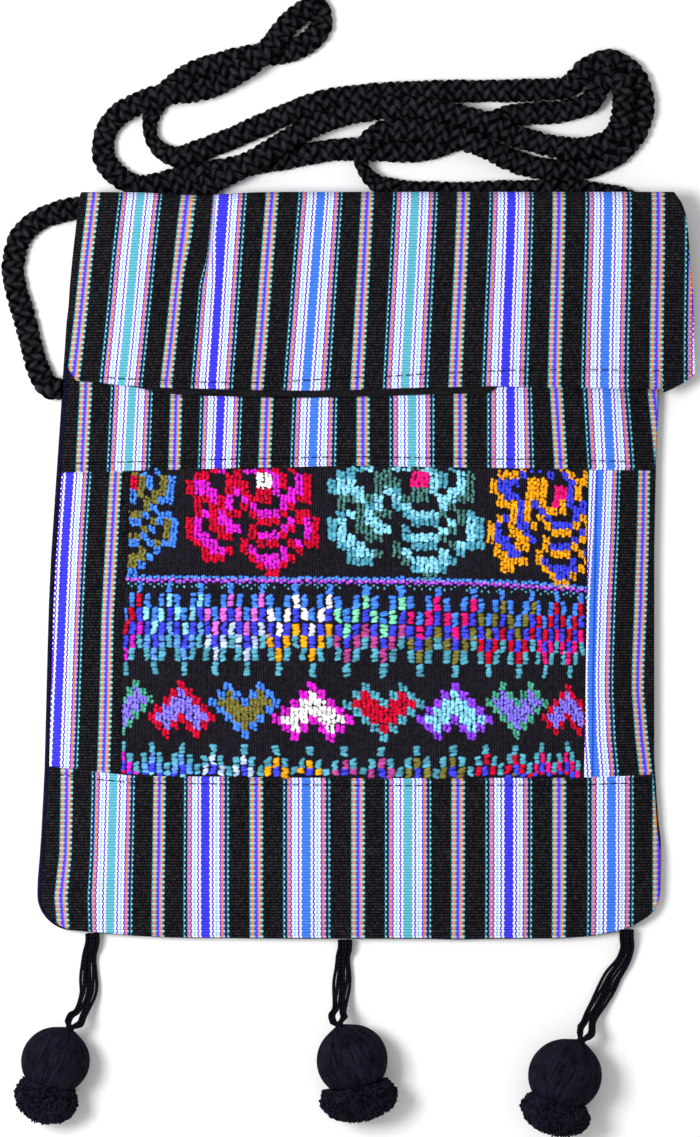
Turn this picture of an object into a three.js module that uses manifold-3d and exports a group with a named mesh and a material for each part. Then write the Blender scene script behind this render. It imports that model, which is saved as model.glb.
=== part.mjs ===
import * as THREE from 'three';
import { mergeVertices } from 'three/addons/utils/BufferGeometryUtils.js';
import Module from 'manifold-3d';

// A handwoven shoulder bag that lies on its back with the flap closed over its mouth.
// Millimetres, +Z up, +Y towards the folded top. The origin lies on the ground under the middle of the bag.

// Cloths and the gaps between them
const CLOTH = 1.4; // striped cloth, brocade and back
const LINING = 1.0; // black cloth under the flap
const SEAM_GAP = 0.3; // between pieces sewn edge to edge
const LAYER_GAP = 0.6; // between cloths that lie on each other

// Pouch
const POUCH_BOTTOM = -134.5;
const POUCH_TOP = 118; // top edge of the back, where the flap begins
const MOUTH = 114; // free top edge of the front
const POUCH_DEPTH = 7; // clear height inside, in the middle
const SEAM_HEIGHT = 3; // the side and bottom seams lie this far above the ground
const CORNER = 10; // radius of the bottom corners
const BOTTOM_BOW = 2; // rise of the bottom edge from its middle to its corners
const BACK_ROLL = 12; // the back rolls up to the seam over this width
const FRONT_ROLL = 26; // the front rolls down to the seam over this width
const FRONT_RISE = POUCH_DEPTH - SEAM_HEIGHT - SEAM_GAP;
const BACK_SHOWS = { left: 1.8, right: 0.4, bottom: 0.4 }; // the back reaches this far past the front

// The strap passes under the top end of the bag and raises it
const STRAP_LIFT = 5.8;
const LIFT_START = 78;
const LIFT_END = 118;

// Side edges of the pouch at several heights
const POUCH_SIDES = [
  { y: -135, left: -117.5, right: 105.2 },
  { y: -113, left: -117.5, right: 105.6 },
  { y: -78, left: -116.5, right: 103.1 },
  { y: 34, left: -112.1, right: 103.2 },
  { y: 59, left: -110.6, right: 104.2 },
  { y: 64, left: -110.4, right: 104.2 },
  { y: 87, left: -108.8, right: 104.4 },
  { y: 118, left: -104.6, right: 104.6 },
];

// Seams across the front, from left to right
const UPPER_BAND_EDGE = [
  { x: -112, y: 33.3 },
  { x: -7, y: 35.8 },
  { x: 104, y: 34.0 },
];
const LOWER_BAND_EDGE = [
  { x: -117, y: -72.9 },
  { x: -84, y: -76.4 },
  { x: 0, y: -77.2 },
  { x: 78, y: -77.0 },
  { x: 104, y: -76.0 },
];

// Upright seams beside the brocade panel
const BROCADE_SIDES = [
  { y: -78, left: -89.4, right: 77.6 },
  { y: 36, left: -85.5, right: 79.4 },
];

// Soft hollows in the front, and in the flap over it
const HOLLOWS = [
  { x: -54.5, y: 124, reachX: 9, reachY: 28, depth: 1.5 }, // tuck in the flap, from the fold down
  { x: 82, y: -20, reachX: 5, reachY: 60, depth: 0.6 }, // crease along the right strip
  { x: -108, y: -92, reachX: 7, reachY: 16, depth: 0.9 }, // pucker at the left end of the lower band
  { x: -10, y: -20, reachX: 60, reachY: 45, depth: 0.8 }, // slack brocade panel
];
const HOLLOW_CLEAR = 8; // hollows fade out over this width along the seams

// Flap
const FOLD_START = 126; // the flap leaves the front here and turns down to the back
const FOLD_REACH = 8.5; // the fold stands out this far past its start
const FLAP_SIDES = [
  { y: 62, left: -109.6, right: 117.5 },
  { y: 70, left: -109.2, right: 117.5 },
  { y: 99, left: -107.0, right: 116.4 },
  { y: 126, left: -104.2, right: 114.6 },
  { y: 134.5, left: -103.2, right: 112.4 },
];
const HEM = [
  { x: -105, y: 66.4 },
  { x: -93, y: 64.6 },
  { x: -76, y: 63.9 },
  { x: -52, y: 62.5 },
  { x: 46, y: 63.5 },
  { x: 104, y: 61.0 },
  { x: 118, y: 61.4 },
];
const HEM_LEVEL = 62; // mean height of the hem
const FLAP_CORNER = { left: { width: 5, height: 9 }, right: { width: 13, height: 7.5 } };
const LINING_INSET = 1.5; // the lining stops this far inside the flap's sides
const LINING_LIP = { depth: 2.2, from: -70, to: 48, fade: 14 }; // it hangs below the hem between these places
const LINING_TOP = 112;

// Strap: braided cord, laid on the ground in loose folds above the bag
const STRAP_WIDTH = 7.2;
const STRAP_THICKNESS = 5;
const STRAP_SIDES = 10;
const STRAP_STEPS = 88;
// Route of its middle line, x, y and z, from the right seam to the left seam
const STRAP_ROUTE = [
  [104.8, 73.0, 4.6], [108.0, 73.3, 4.2], [110.4, 79.0, 2.9], [110.3, 97.0, 2.9], [107.5, 118.6, 2.9],
  [96.3, 130.5, 2.9], [79.7, 134.8, 2.9], [11.3, 135.5, 2.9], [0.5, 139.9, 4.2], [-2.7, 148.5, 7.6], [4.9, 156.1, 8.0],
  [22.1, 156.8, 8.0], [38.3, 152.1, 8.0], [57.4, 144.5, 3.2], [75.1, 143.1, 2.9], [91.3, 149.6, 2.9],
  [99.5, 163.6, 2.9], [97.0, 175.9, 2.9], [87.7, 182.7, 2.9], [79.0, 179.5, 2.9], [72.5, 173.3, 2.9],
  [59.9, 171.9, 2.9], [11.3, 170.8, 2.9], [-16.7, 167.6, 2.9], [-56.3, 151.7, 2.9], [-70.4, 147.8, 2.9],
  [-78.3, 153.9, 2.9], [-77.6, 165.1, 2.9], [-65.0, 177.3, 2.9], [-46.3, 183.4, 2.9], [-27.0, 186.4, 2.9],
  [-17.6, 194.0, 2.9], [-18.6, 202.2, 2.9], [-26.6, 197.8, 3.6], [-38.8, 183.7, 8.0], [-56.0, 173.0, 5.2],
  [-78.7, 168.3, 8.0], [-93.4, 159.7, 3.6], [-95.6, 147.1, 2.9], [-84.4, 137.3, 2.9], [-64.3, 140.9, 2.9],
  [-38.3, 145.6, 2.9], [-10.3, 150.3, 2.9], [17.1, 149.9, 2.9], [32.6, 153.9, 2.9], [50.2, 162.2, 2.9],
  [71.1, 164.3, 2.9], [80.5, 167.6, 4.4], [84.8, 174.8, 7.8], [90.2, 174.4, 7.9], [92.0, 165.8, 7.3],
  [89.1, 155.3, 6.8], [76.1, 150.3, 5.6], [54.5, 154.6, 5.4], [41.9, 159.7, 7.8], [11.3, 165.1, 8.0],
  [-16.7, 159.7, 7.2], [-40.1, 146.7, 8.0], [-52.0, 140.2, 7.0], [-64.3, 134.5, 2.9], [-78.7, 130.1, 2.9],
  [-111.1, 128.0, 2.9], [-124.4, 120.8, 2.9], [-128.7, 107.5, 2.9], [-124.0, 87.3, 2.9], [-118.6, 68.6, 3.4],
  [-115.2, 64.0, 4.2], [-110.9, 63.6, 4.6],
];

// Tassels: a bundle of strands out of the bottom seam, and a wound ball with a skirt of cut pile
const BUNDLE_WIDTH = 4.4;
const BUNDLE_SIDES = 8;
const BUNDLE_STEPS = 10;
const STRAIGHT_OUT = 3; // the strands leave the seam straight for this length
const BALL_SIDES = 14;
const LOCKS = 10;
const TASSELS = [
  {
    name: 'left',
    ball: { x: -112.7, y: -178.7, radius: 12.2, lean: -14 },
    skirt: { radius: 11.5, length: 13 },
    seam: -99.5,
    strands: [[-101.8, -142.4, 2.6], [-101.0, -153.2, 3.4], [-104.6, -161.6, 7.6]],
  },
  {
    name: 'middle',
    ball: { x: -5.9, y: -178.4, radius: 12.8, lean: 6 },
    skirt: { radius: 13.6, length: 12 },
    seam: -8.8,
    strands: [[-9.5, -144.9, 2.6], [-9.9, -155.7, 4.0], [-8.6, -161.6, 8.6]],
  },
  {
    name: 'right',
    ball: { x: 70.7, y: -183.8, radius: 13.1, lean: -11 },
    skirt: { radius: 12.9, length: 13 },
    seam: 93,
    strands: [[91.6, -142.0, 2.6], [84.6, -151.6, 2.8], [77.2, -166.4, 8.4]],
  },
];
const GROUND_FLAT = 0.25; // the balls are pressed flat by this much where they rest
const STRAND_NECK = 2.2; // the strands run straight into the pole over this length

// Shape of a ball, as shares of its radius, with its arc in radians from the pole
const BALL = { dimple: 0.94, rim: 0.16, arcStart: 0.22, arcEnd: 2.35, neck: 0.72, arcSteps: 8 };
// Shape of a skirt, as shares of its radius and length, with the lean of its locks in radians
const SKIRT = { core: 0.76, coreLength: 0.9, lock: 0.3, lockLength: 1.12, longLock: 1.08, lean: 0.16 };
const GROUND_BLOCK = { width: 80, depth: 20 };

const COLOURS = {
  stripes: 0x4a5aa8,
  brocade: 0x35304a,
  back: 0x14151d,
  lining: 0x0d0d10,
  braid: 0x101013,
  thread: 0x0e0f16,
};

const wasm = await Module();
wasm.setup();

function material(colour) {
  return new THREE.MeshStandardMaterial({ color: colour, roughness: 0.85, metalness: 0 });
}

// Linear reading of a table: the value of one column where another column has the given value
function readTable(rows, key, at, column) {
  const next = rows.findIndex((row) => row[key] >= at);
  if (next === 0) return rows[0][column];
  if (next === -1) return rows[rows.length - 1][column];
  const low = rows[next - 1];
  const high = rows[next];
  return THREE.MathUtils.mapLinear(at, low[key], high[key], low[column], high[column]);
}

// From 0 at an edge to 1 at the given distance from it, as a quarter of a wave
function roll(inset, width) {
  return Math.sin((Math.PI / 2) * THREE.MathUtils.clamp(inset / width, 0, 1));
}

function lift(y) {
  return STRAP_LIFT * THREE.MathUtils.smoothstep(y, LIFT_START, LIFT_END);
}

function pouchBottomAt(x) {
  const halfWidth = POUCH_SIDES[0].right;
  return POUCH_BOTTOM + BOTTOM_BOW * (x / halfWidth) ** 2;
}

// Distance inwards from the seam, with round bottom corners
function seamInset(x, y) {
  const left = readTable(POUCH_SIDES, 'y', y, 'left');
  const right = readTable(POUCH_SIDES, 'y', y, 'right');
  const across = Math.abs(x - (left + right) / 2) - ((right - left) / 2 - CORNER);
  const down = pouchBottomAt(x) + CORNER - y;
  const outside = Math.hypot(Math.max(across, 0), Math.max(down, 0));
  return CORNER - outside - Math.min(Math.max(across, down), 0);
}

function hollowAt(x, y) {
  let depth = 0;
  for (const hollow of HOLLOWS) {
    const across = (x - hollow.x) / hollow.reachX;
    const along = (y - hollow.y) / hollow.reachY;
    depth += hollow.depth * Math.exp(-(across ** 2) - along ** 2);
  }
  return depth * roll(seamInset(x, y), HOLLOW_CLEAR);
}

// Undersides of the cloths
function backUnder(x, y) {
  return lift(y) + SEAM_HEIGHT * (1 - roll(seamInset(x, y), BACK_ROLL));
}

function frontUnder(x, y) {
  const seam = lift(y) + CLOTH + SEAM_GAP + SEAM_HEIGHT;
  return seam + FRONT_RISE * roll(seamInset(x, y), FRONT_ROLL) - hollowAt(x, y);
}

// The flap lies on the front and runs on past the right seam, over the end of the strap
function liningUnder(x, y) {
  const fromLeft = x - readTable(POUCH_SIDES, 'y', y, 'left');
  const fromRight = readTable(FLAP_SIDES, 'y', y, 'right') - x;
  const seam = lift(y) + 2 * CLOTH + SEAM_GAP + LAYER_GAP + SEAM_HEIGHT;
  return seam + FRONT_RISE * roll(Math.min(fromLeft, fromRight), FRONT_ROLL) - hollowAt(x, y);
}

function flapUnder(x, y) {
  return liningUnder(x, y) + LINING + LAYER_GAP;
}

// Columns across a cloth, closer together towards both sides
function columnsAcross(count) {
  return Array.from({ length: count + 1 }, (_, i) => (1 - Math.cos((Math.PI * i) / count)) / 2);
}

// Rows up a cloth, evenly spaced
function rowsUp(count) {
  return Array.from({ length: count + 1 }, (_, i) => i / count);
}

// How far a round or oval corner draws the side in, at a height above the edge
function cornerDraw(height, width, reach) {
  const below = Math.max(1 - height / reach, 0);
  return width * (1 - Math.sqrt(1 - below ** 2));
}

// A closed cloth wall: the point of each row and column is given for its under side (0) and its upper side (1)
function clothWall(rows, columns, pointAt) {
  const positions = [];
  for (const side of [0, 1]) {
    for (const row of rows) {
      for (const column of columns) positions.push(...pointAt(column, row, side));
    }
  }
  const width = columns.length;
  const layer = rows.length * width;
  const triangles = [];
  const quad = (a, b, c, d) => triangles.push(a, b, c, a, c, d);
  const at = (side, row, column) => side * layer + row * width + column;
  for (let r = 0; r < rows.length - 1; r += 1) {
    for (let c = 0; c < width - 1; c += 1) {
      quad(at(1, r, c), at(1, r, c + 1), at(1, r + 1, c + 1), at(1, r + 1, c));
      quad(at(0, r, c), at(0, r + 1, c), at(0, r + 1, c + 1), at(0, r, c + 1));
    }
    quad(at(0, r, 0), at(1, r, 0), at(1, r + 1, 0), at(0, r + 1, 0));
    const last = width - 1;
    quad(at(0, r, last), at(0, r + 1, last), at(1, r + 1, last), at(1, r, last));
  }
  const top = rows.length - 1;
  for (let c = 0; c < width - 1; c += 1) {
    quad(at(0, 0, c), at(0, 0, c + 1), at(1, 0, c + 1), at(1, 0, c));
    quad(at(0, top, c), at(1, top, c), at(1, top, c + 1), at(0, top, c + 1));
  }
  const geometry = new THREE.BufferGeometry();
  geometry.setAttribute('position', new THREE.Float32BufferAttribute(positions, 3));
  geometry.setIndex(triangles);
  return geometry;
}

// A cloth of even thickness on a surface, between two side edges and two cross edges
function layCloth({ rows, columns, level, left, right, low, high, under, thickness }) {
  return clothWall(rows, columns, (u, v, side) => {
    const height = THREE.MathUtils.lerp(level.low, level.high, v);
    const x = THREE.MathUtils.lerp(left(height), right(height), u);
    const y = THREE.MathUtils.lerp(low(x), high(x), v);
    return [x, y, under(x, y) + side * thickness];
  });
}

function backPanel() {
  const rowHeights = [-134.5, -134, -132.5, -130, -126, -120, -110, -70, -20, 30, 78, 86, 94, 102, 110, 118];
  const span = POUCH_TOP - POUCH_BOTTOM;
  const draw = (height) => cornerDraw(height - POUCH_BOTTOM, CORNER, CORNER);
  return layCloth({
    rows: rowHeights.map((height) => (height - POUCH_BOTTOM) / span),
    columns: columnsAcross(16),
    level: { low: POUCH_BOTTOM, high: POUCH_TOP },
    left: (height) => readTable(POUCH_SIDES, 'y', height, 'left') + draw(height),
    right: (height) => readTable(POUCH_SIDES, 'y', height, 'right') - draw(height),
    low: pouchBottomAt,
    high: () => POUCH_TOP,
    under: backUnder,
    thickness: CLOTH,
  });
}

function frontLeftAt(height) {
  return readTable(POUCH_SIDES, 'y', height, 'left') + BACK_SHOWS.left;
}

function frontRightAt(height) {
  return readTable(POUCH_SIDES, 'y', height, 'right') - BACK_SHOWS.right;
}

function upperEdgeAt(x) {
  return readTable(UPPER_BAND_EDGE, 'x', x, 'y');
}

function lowerEdgeAt(x) {
  return readTable(LOWER_BAND_EDGE, 'x', x, 'y');
}

function upperBand() {
  const rowHeights = [35, 55, 70, 78, 86, 94, 102, 108, 114];
  const low = rowHeights[0];
  return layCloth({
    rows: rowHeights.map((height) => (height - low) / (MOUTH - low)),
    columns: columnsAcross(20),
    level: { low, high: MOUTH },
    left: frontLeftAt,
    right: frontRightAt,
    low: upperEdgeAt,
    high: () => MOUTH,
    under: frontUnder,
    thickness: CLOTH,
  });
}

function lowerBand() {
  const low = POUCH_BOTTOM + BACK_SHOWS.bottom;
  const high = -77;
  const rowHeights = [low, -133.4, -131.5, -128, -122, -112, -98, high];
  const draw = (height) => cornerDraw(height - low, CORNER, CORNER);
  return layCloth({
    rows: rowHeights.map((height) => (height - low) / (high - low)),
    columns: columnsAcross(20),
    level: { low, high },
    left: (height) => frontLeftAt(height) + draw(height),
    right: (height) => frontRightAt(height) - draw(height),
    low: (x) => pouchBottomAt(x) + BACK_SHOWS.bottom,
    high: lowerEdgeAt,
    under: frontUnder,
    thickness: CLOTH,
  });
}

// The three pieces between the two bands
function middlePiece(left, right, columns) {
  return layCloth({
    rows: rowsUp(8),
    columns,
    level: { low: -77, high: 35 },
    left,
    right,
    low: (x) => lowerEdgeAt(x) + SEAM_GAP,
    high: (x) => upperEdgeAt(x) - SEAM_GAP,
    under: frontUnder,
    thickness: CLOTH,
  });
}

function brocadeSideAt(side) {
  return (height) => readTable(BROCADE_SIDES, 'y', height, side);
}

function leftStrip() {
  const inner = brocadeSideAt('left');
  return middlePiece(frontLeftAt, (height) => inner(height) - SEAM_GAP, rowsUp(5));
}

function rightStrip() {
  const inner = brocadeSideAt('right');
  return middlePiece((height) => inner(height) + SEAM_GAP, frontRightAt, rowsUp(5));
}

function brocadePanel() {
  return middlePiece(brocadeSideAt('left'), brocadeSideAt('right'), rowsUp(12));
}

function hemAt(x) {
  return readTable(HEM, 'x', x, 'y');
}

function flapSideAt(height, side) {
  const corner = cornerDraw(height - HEM_LEVEL, FLAP_CORNER[side].width, FLAP_CORNER[side].height);
  const inwards = side === 'left' ? 1 : -1;
  return readTable(FLAP_SIDES, 'y', height, side) + inwards * corner;
}

// Stations along the flap: up the front, round the fold and back to the top edge of the back
function flapStations() {
  const onFront = [62, 63, 65, 69, 78, 86, 94, 102, 110, 118];
  const stations = onFront.map((height) => ({ height }));
  const foldSteps = 6;
  for (let i = 0; i <= foldSteps; i += 1) {
    stations.push({ height: FOLD_START, turn: Math.PI / 2 - (Math.PI * i) / foldSteps });
  }
  stations.push({ height: POUCH_TOP + SEAM_GAP, beneath: true });
  return stations;
}

function flap() {
  return clothWall(flapStations(), columnsAcross(26), (u, station, side) => {
    const { height, turn, beneath } = station;
    const reach = turn === undefined ? 0 : FOLD_REACH * Math.cos(turn);
    const edgeHeight = height + reach;
    const x = THREE.MathUtils.lerp(flapSideAt(edgeHeight, 'left'), flapSideAt(edgeHeight, 'right'), u);
    if (beneath) return [x, height, backUnder(x, height) + (1 - side) * CLOTH];
    if (turn === undefined) {
      const share = (height - HEM_LEVEL) / (FOLD_START - HEM_LEVEL);
      const y = THREE.MathUtils.lerp(hemAt(x), FOLD_START, share);
      return [x, y, flapUnder(x, y) + side * CLOTH];
    }
    const top = flapUnder(x, FOLD_START) + CLOTH;
    const bottom = backUnder(x, FOLD_START);
    const inside = (1 - side) * CLOTH;
    const halfHeight = (top - bottom) / 2 - inside;
    const y = FOLD_START + (FOLD_REACH - inside) * Math.cos(turn);
    return [x, y, (top + bottom) / 2 + halfHeight * Math.sin(turn)];
  });
}

// The lip of the lining below the hem fades in and out along the flap
function liningLowAt(x) {
  const { depth, from, to, fade } = LINING_LIP;
  const enter = THREE.MathUtils.smoothstep(x, from, from + fade);
  const leave = 1 - THREE.MathUtils.smoothstep(x, to - fade, to);
  return hemAt(x) + LINING_INSET - (depth + LINING_INSET) * enter * leave;
}

function flapLining() {
  const rowHeights = [62, 63, 65, 69, 78, 86, 94, 102, LINING_TOP];
  return layCloth({
    rows: rowHeights.map((height) => (height - HEM_LEVEL) / (LINING_TOP - HEM_LEVEL)),
    columns: columnsAcross(20),
    level: { low: HEM_LEVEL, high: LINING_TOP },
    left: (height) => flapSideAt(height, 'left') + LINING_INSET,
    right: (height) => flapSideAt(height, 'right') - LINING_INSET,
    low: liningLowAt,
    high: () => LINING_TOP,
    under: liningUnder,
    thickness: LINING,
  });
}

const UP = new THREE.Vector3(0, 0, 1);

// A curve through hand-placed points, stepped point by point so that the steps lie closer together in its bends
class RouteCurve extends THREE.CatmullRomCurve3 {
  getUtoTmapping(u) {
    return u;
  }

  // The section stays level all the way: its first axis points up and its second across
  computeFrenetFrames(segments) {
    const frames = { tangents: [], normals: [], binormals: [] };
    for (let i = 0; i <= segments; i += 1) {
      const tangent = this.getTangentAt(i / segments);
      const across = new THREE.Vector3().crossVectors(tangent, UP).normalize();
      frames.tangents.push(tangent);
      frames.binormals.push(across);
      frames.normals.push(new THREE.Vector3().crossVectors(across, tangent));
    }
    return frames;
  }
}

function ovalTube(route, { width, thickness, sides, steps }) {
  const curve = new RouteCurve(route.map(([x, y, z]) => new THREE.Vector3(x, y, z)));
  const section = new THREE.Shape();
  for (let i = 0; i < sides; i += 1) {
    const angle = (2 * Math.PI * i) / sides;
    const point = [(thickness / 2) * Math.cos(angle), (width / 2) * Math.sin(angle)];
    if (i === 0) section.moveTo(...point);
    else section.lineTo(...point);
  }
  section.closePath();
  return new THREE.ExtrudeGeometry(section, { steps, extrudePath: curve });
}

function strapCord() {
  return ovalTube(STRAP_ROUTE, {
    width: STRAP_WIDTH,
    thickness: STRAP_THICKNESS,
    sides: STRAP_SIDES,
    steps: STRAP_STEPS,
  });
}

function toSolid(geometry) {
  const bare = geometry.clone();
  bare.deleteAttribute('normal');
  bare.deleteAttribute('uv');
  const merged = mergeVertices(bare, 1e-4);
  const index = Array.from(merged.index.array);
  const triVerts = [];
  for (let i = 0; i < index.length; i += 3) {
    const [a, b, c] = index.slice(i, i + 3);
    if (a !== b && b !== c && c !== a) triVerts.push(a, b, c);
  }
  const vertProperties = new Float32Array(merged.attributes.position.array);
  const mesh = new wasm.Mesh({ numProp: 3, vertProperties, triVerts: new Uint32Array(triVerts) });
  return new wasm.Manifold(mesh);
}

function toGeometry(solid) {
  const mesh = solid.getMesh();
  const geometry = new THREE.BufferGeometry();
  geometry.setAttribute('position', new THREE.Float32BufferAttribute(mesh.vertProperties, 3));
  geometry.setIndex(Array.from(mesh.triVerts));
  return geometry;
}

// Ball, neck and the core of the skirt, turned about the Y axis with the strands' end up
function pompomCore(radius, skirt) {
  const profile = [[0, radius * BALL.dimple], [radius * BALL.rim, radius]];
  for (let i = 0; i <= BALL.arcSteps; i += 1) {
    const angle = THREE.MathUtils.lerp(BALL.arcStart, BALL.arcEnd, i / BALL.arcSteps);
    profile.push([radius * Math.sin(angle), radius * Math.cos(angle)]);
  }
  const skirtTop = -radius * BALL.neck;
  const skirtEnd = skirtTop - skirt.length * SKIRT.coreLength;
  const coreRadius = skirt.radius * SKIRT.core;
  profile.push([coreRadius, skirtTop - CLOTH], [coreRadius, skirtEnd], [0, skirtEnd]);
  const points = profile.map(([x, y]) => new THREE.Vector2(x, y));
  return new THREE.LatheGeometry(points.reverse(), BALL_SIDES);
}

// One lock of pile, leaning out from the neck
function pileLock(index, radius, skirt) {
  const around = (2 * Math.PI * (index + 0.5)) / LOCKS;
  const longer = index % 3 === 0 ? SKIRT.longLock : 1;
  const lockRadius = skirt.radius * SKIRT.lock;
  const halfLength = (skirt.length * SKIRT.lockLength * longer) / 2;
  const lock = new THREE.SphereGeometry(lockRadius, 6, 4);
  lock.scale(1, halfLength / lockRadius, 1);
  lock.rotateZ(SKIRT.lean);
  lock.translate(skirt.radius - lockRadius, -radius * BALL.neck - skirt.length / 2, 0);
  lock.rotateY(around);
  return lock;
}

function pompom(radius, skirt) {
  let solid = toSolid(pompomCore(radius, skirt));
  for (let i = 0; i < LOCKS; i += 1) {
    solid = solid.add(toSolid(pileLock(i, radius, skirt)));
  }
  const { width, depth } = GROUND_BLOCK;
  const ground = new THREE.BoxGeometry(width, width, depth);
  ground.translate(0, 0, -depth / 2 - (radius - GROUND_FLAT));
  return toGeometry(solid.subtract(toSolid(ground)));
}

// The strands leave the seam straight out and end just short of the ball's pole
function strandRoute({ ball, seam, strands }) {
  const seamMiddle = SEAM_HEIGHT + CLOTH + SEAM_GAP / 2;
  const start = pouchBottomAt(seam) - SEAM_GAP;
  const leave = [[seam, start, seamMiddle], [seam, start - STRAIGHT_OUT, seamMiddle - SEAM_GAP]];
  const lean = THREE.MathUtils.degToRad(ball.lean);
  const height = ball.radius - GROUND_FLAT;
  const abovePole = (gap) => {
    const reach = ball.radius + gap;
    return [ball.x - reach * Math.sin(lean), ball.y + reach * Math.cos(lean), height];
  };
  return [...leave, ...strands, abovePole(STRAND_NECK), abovePole(SEAM_GAP)];
}

const bag = new THREE.Group();

function addPiece(name, geometry, colour) {
  const mesh = new THREE.Mesh(geometry, material(colour));
  mesh.name = name;
  bag.add(mesh);
  return mesh;
}

addPiece('back_panel', backPanel(), COLOURS.back);
addPiece('front_upper_band', upperBand(), COLOURS.stripes);
addPiece('front_lower_band', lowerBand(), COLOURS.stripes);
addPiece('front_left_strip', leftStrip(), COLOURS.stripes);
addPiece('front_right_strip', rightStrip(), COLOURS.stripes);
addPiece('brocade_panel', brocadePanel(), COLOURS.brocade);
addPiece('flap', flap(), COLOURS.stripes);
addPiece('flap_lining', flapLining(), COLOURS.lining);
addPiece('strap_cord', strapCord(), COLOURS.braid);

for (const tassel of TASSELS) {
  const { name, ball, skirt } = tassel;
  const bundle = ovalTube(strandRoute(tassel), {
    width: BUNDLE_WIDTH,
    thickness: BUNDLE_WIDTH,
    sides: BUNDLE_SIDES,
    steps: BUNDLE_STEPS,
  });
  addPiece(`tassel_cord_${name}`, bundle, COLOURS.thread);
  const ballMesh = addPiece(`pompom_${name}`, pompom(ball.radius, skirt), COLOURS.thread);
  ballMesh.position.set(ball.x, ball.y, ball.radius - GROUND_FLAT);
  ballMesh.rotation.z = THREE.MathUtils.degToRad(ball.lean);
}

export default bag;
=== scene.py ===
import math
from functools import partial

import bpy
import numpy as np
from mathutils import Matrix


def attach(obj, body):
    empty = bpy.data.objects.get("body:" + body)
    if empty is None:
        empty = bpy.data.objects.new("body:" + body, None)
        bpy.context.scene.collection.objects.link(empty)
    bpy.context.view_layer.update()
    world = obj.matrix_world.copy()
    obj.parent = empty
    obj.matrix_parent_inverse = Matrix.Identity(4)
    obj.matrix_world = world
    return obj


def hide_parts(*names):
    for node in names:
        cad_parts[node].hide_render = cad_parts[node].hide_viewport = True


# A handwoven shoulder bag that lies on its back: striped cloth, a brocade panel, a braided strap, pompoms.
# Metres, +Z up, +Y towards the folded top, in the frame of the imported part.
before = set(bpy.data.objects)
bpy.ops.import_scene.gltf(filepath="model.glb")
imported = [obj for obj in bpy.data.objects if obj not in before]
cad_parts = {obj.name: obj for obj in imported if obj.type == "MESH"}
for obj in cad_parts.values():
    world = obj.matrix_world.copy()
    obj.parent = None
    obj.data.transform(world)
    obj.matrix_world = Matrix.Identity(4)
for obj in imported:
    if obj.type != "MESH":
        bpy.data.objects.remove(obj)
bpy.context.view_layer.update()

# Pale table top under the bag, with the camera straight above it.
# A small soft light stands at the left, a wide one hangs overhead, and the white room fills the shadows.
IMAGE_HEIGHT = 0.4093  # height of the photograph on the bag
IMAGE_MIDDLE = (-0.00666, -0.00144)
SENSOR = 36
CAMERA_HEIGHT = 1.5
BAG_LEVEL = 0.012  # the photograph's scale holds at this height
TABLE_REACH = 2.5
# Lights: place, width and power
LIGHTS = {
    "window_light": ((-0.43, 0.05, 0.85), 0.30, 6.6),
    "overhead_light": ((-0.25, 0.1, 1.4), 1.6, 4.2),
}
ROOM_LIGHT = 0.44


def dye(red, green, blue):
    """A colour in the linear values that a shader takes, from the values of a screen."""
    shares = np.array([red, green, blue]) / 255
    linear = np.where(shares <= 0.04045, shares / 12.92, ((shares + 0.055) / 1.055) ** 2.4)
    return (*(float(share) for share in linear), 1.0)


class Shade:
    """A socket of a material's nodes. Expressions on values add Math nodes, and node() adds any other."""

    def __init__(self, tree, socket=None):
        self.tree = tree
        self.socket = socket

    def node(self, kind, settings, inputs, output=0):
        made = self.tree.nodes.new(kind)
        for setting, value in settings.items():
            if setting == "stops":
                made.color_ramp.interpolation = "CONSTANT"
                stops = made.color_ramp.elements
                while len(stops) < len(value):
                    stops.new(1.0)
                for stop, (place, colour) in zip(stops, value):
                    stop.position = place
                    stop.color = colour
            else:
                setattr(made, setting, value)
        for name, value in inputs.items():
            if isinstance(value, Shade):
                self.tree.links.new(value.socket, made.inputs[name])
            else:
                made.inputs[name].default_value = value
        return Shade(self.tree, made.outputs[output])

    def math(self, operation, *values):
        return self.node("ShaderNodeMath", {"operation": operation}, dict(enumerate(values)))

    def mix(self, low, high):
        """Colours or grey levels blended by this value."""
        return self.node("ShaderNodeMix", {"data_type": "RGBA"}, {0: self, 6: low, 7: high}, 2)

    def scaled(self, value):
        """A colour made darker or lighter by a value."""
        return self.node("ShaderNodeVectorMath", {"operation": "SCALE"}, {0: self, "Scale": value})

    def noise(self, place, scale, detail=2.0):
        inputs = {"Vector": place, "Scale": scale, "Detail": detail}
        return self.node("ShaderNodeTexNoise", {}, inputs)

    def place(self):
        """The place on the bag in metres, for what doesn't follow the threads."""
        return self.node("ShaderNodeTexCoord", {}, {}, "Object")

    def run(self):
        """What a piece notes of its threads at each point."""
        return self.node("ShaderNodeAttribute", {"attribute_name": "weave"}, {}, "Vector")

    def part(self, number):
        """One of the three values of a vector."""
        return self.node("ShaderNodeSeparateXYZ", {}, {0: self}, number)

    def __add__(self, other):
        return self.math("ADD", self, other)

    def __sub__(self, other):
        return self.math("SUBTRACT", self, other)

    def __rsub__(self, other):
        return self.math("SUBTRACT", other, self)

    def __mul__(self, other):
        return self.math("MULTIPLY", self, other)

    def __truediv__(self, other):
        return self.math("DIVIDE", self, other)

    def __mod__(self, other):
        return self.math("FLOORED_MODULO", self, other)

    def __lt__(self, other):
        return self.math("LESS_THAN", self, other)

    def __gt__(self, other):
        return self.math("GREATER_THAN", self, other)

    __radd__ = __add__
    __rmul__ = __mul__


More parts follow.
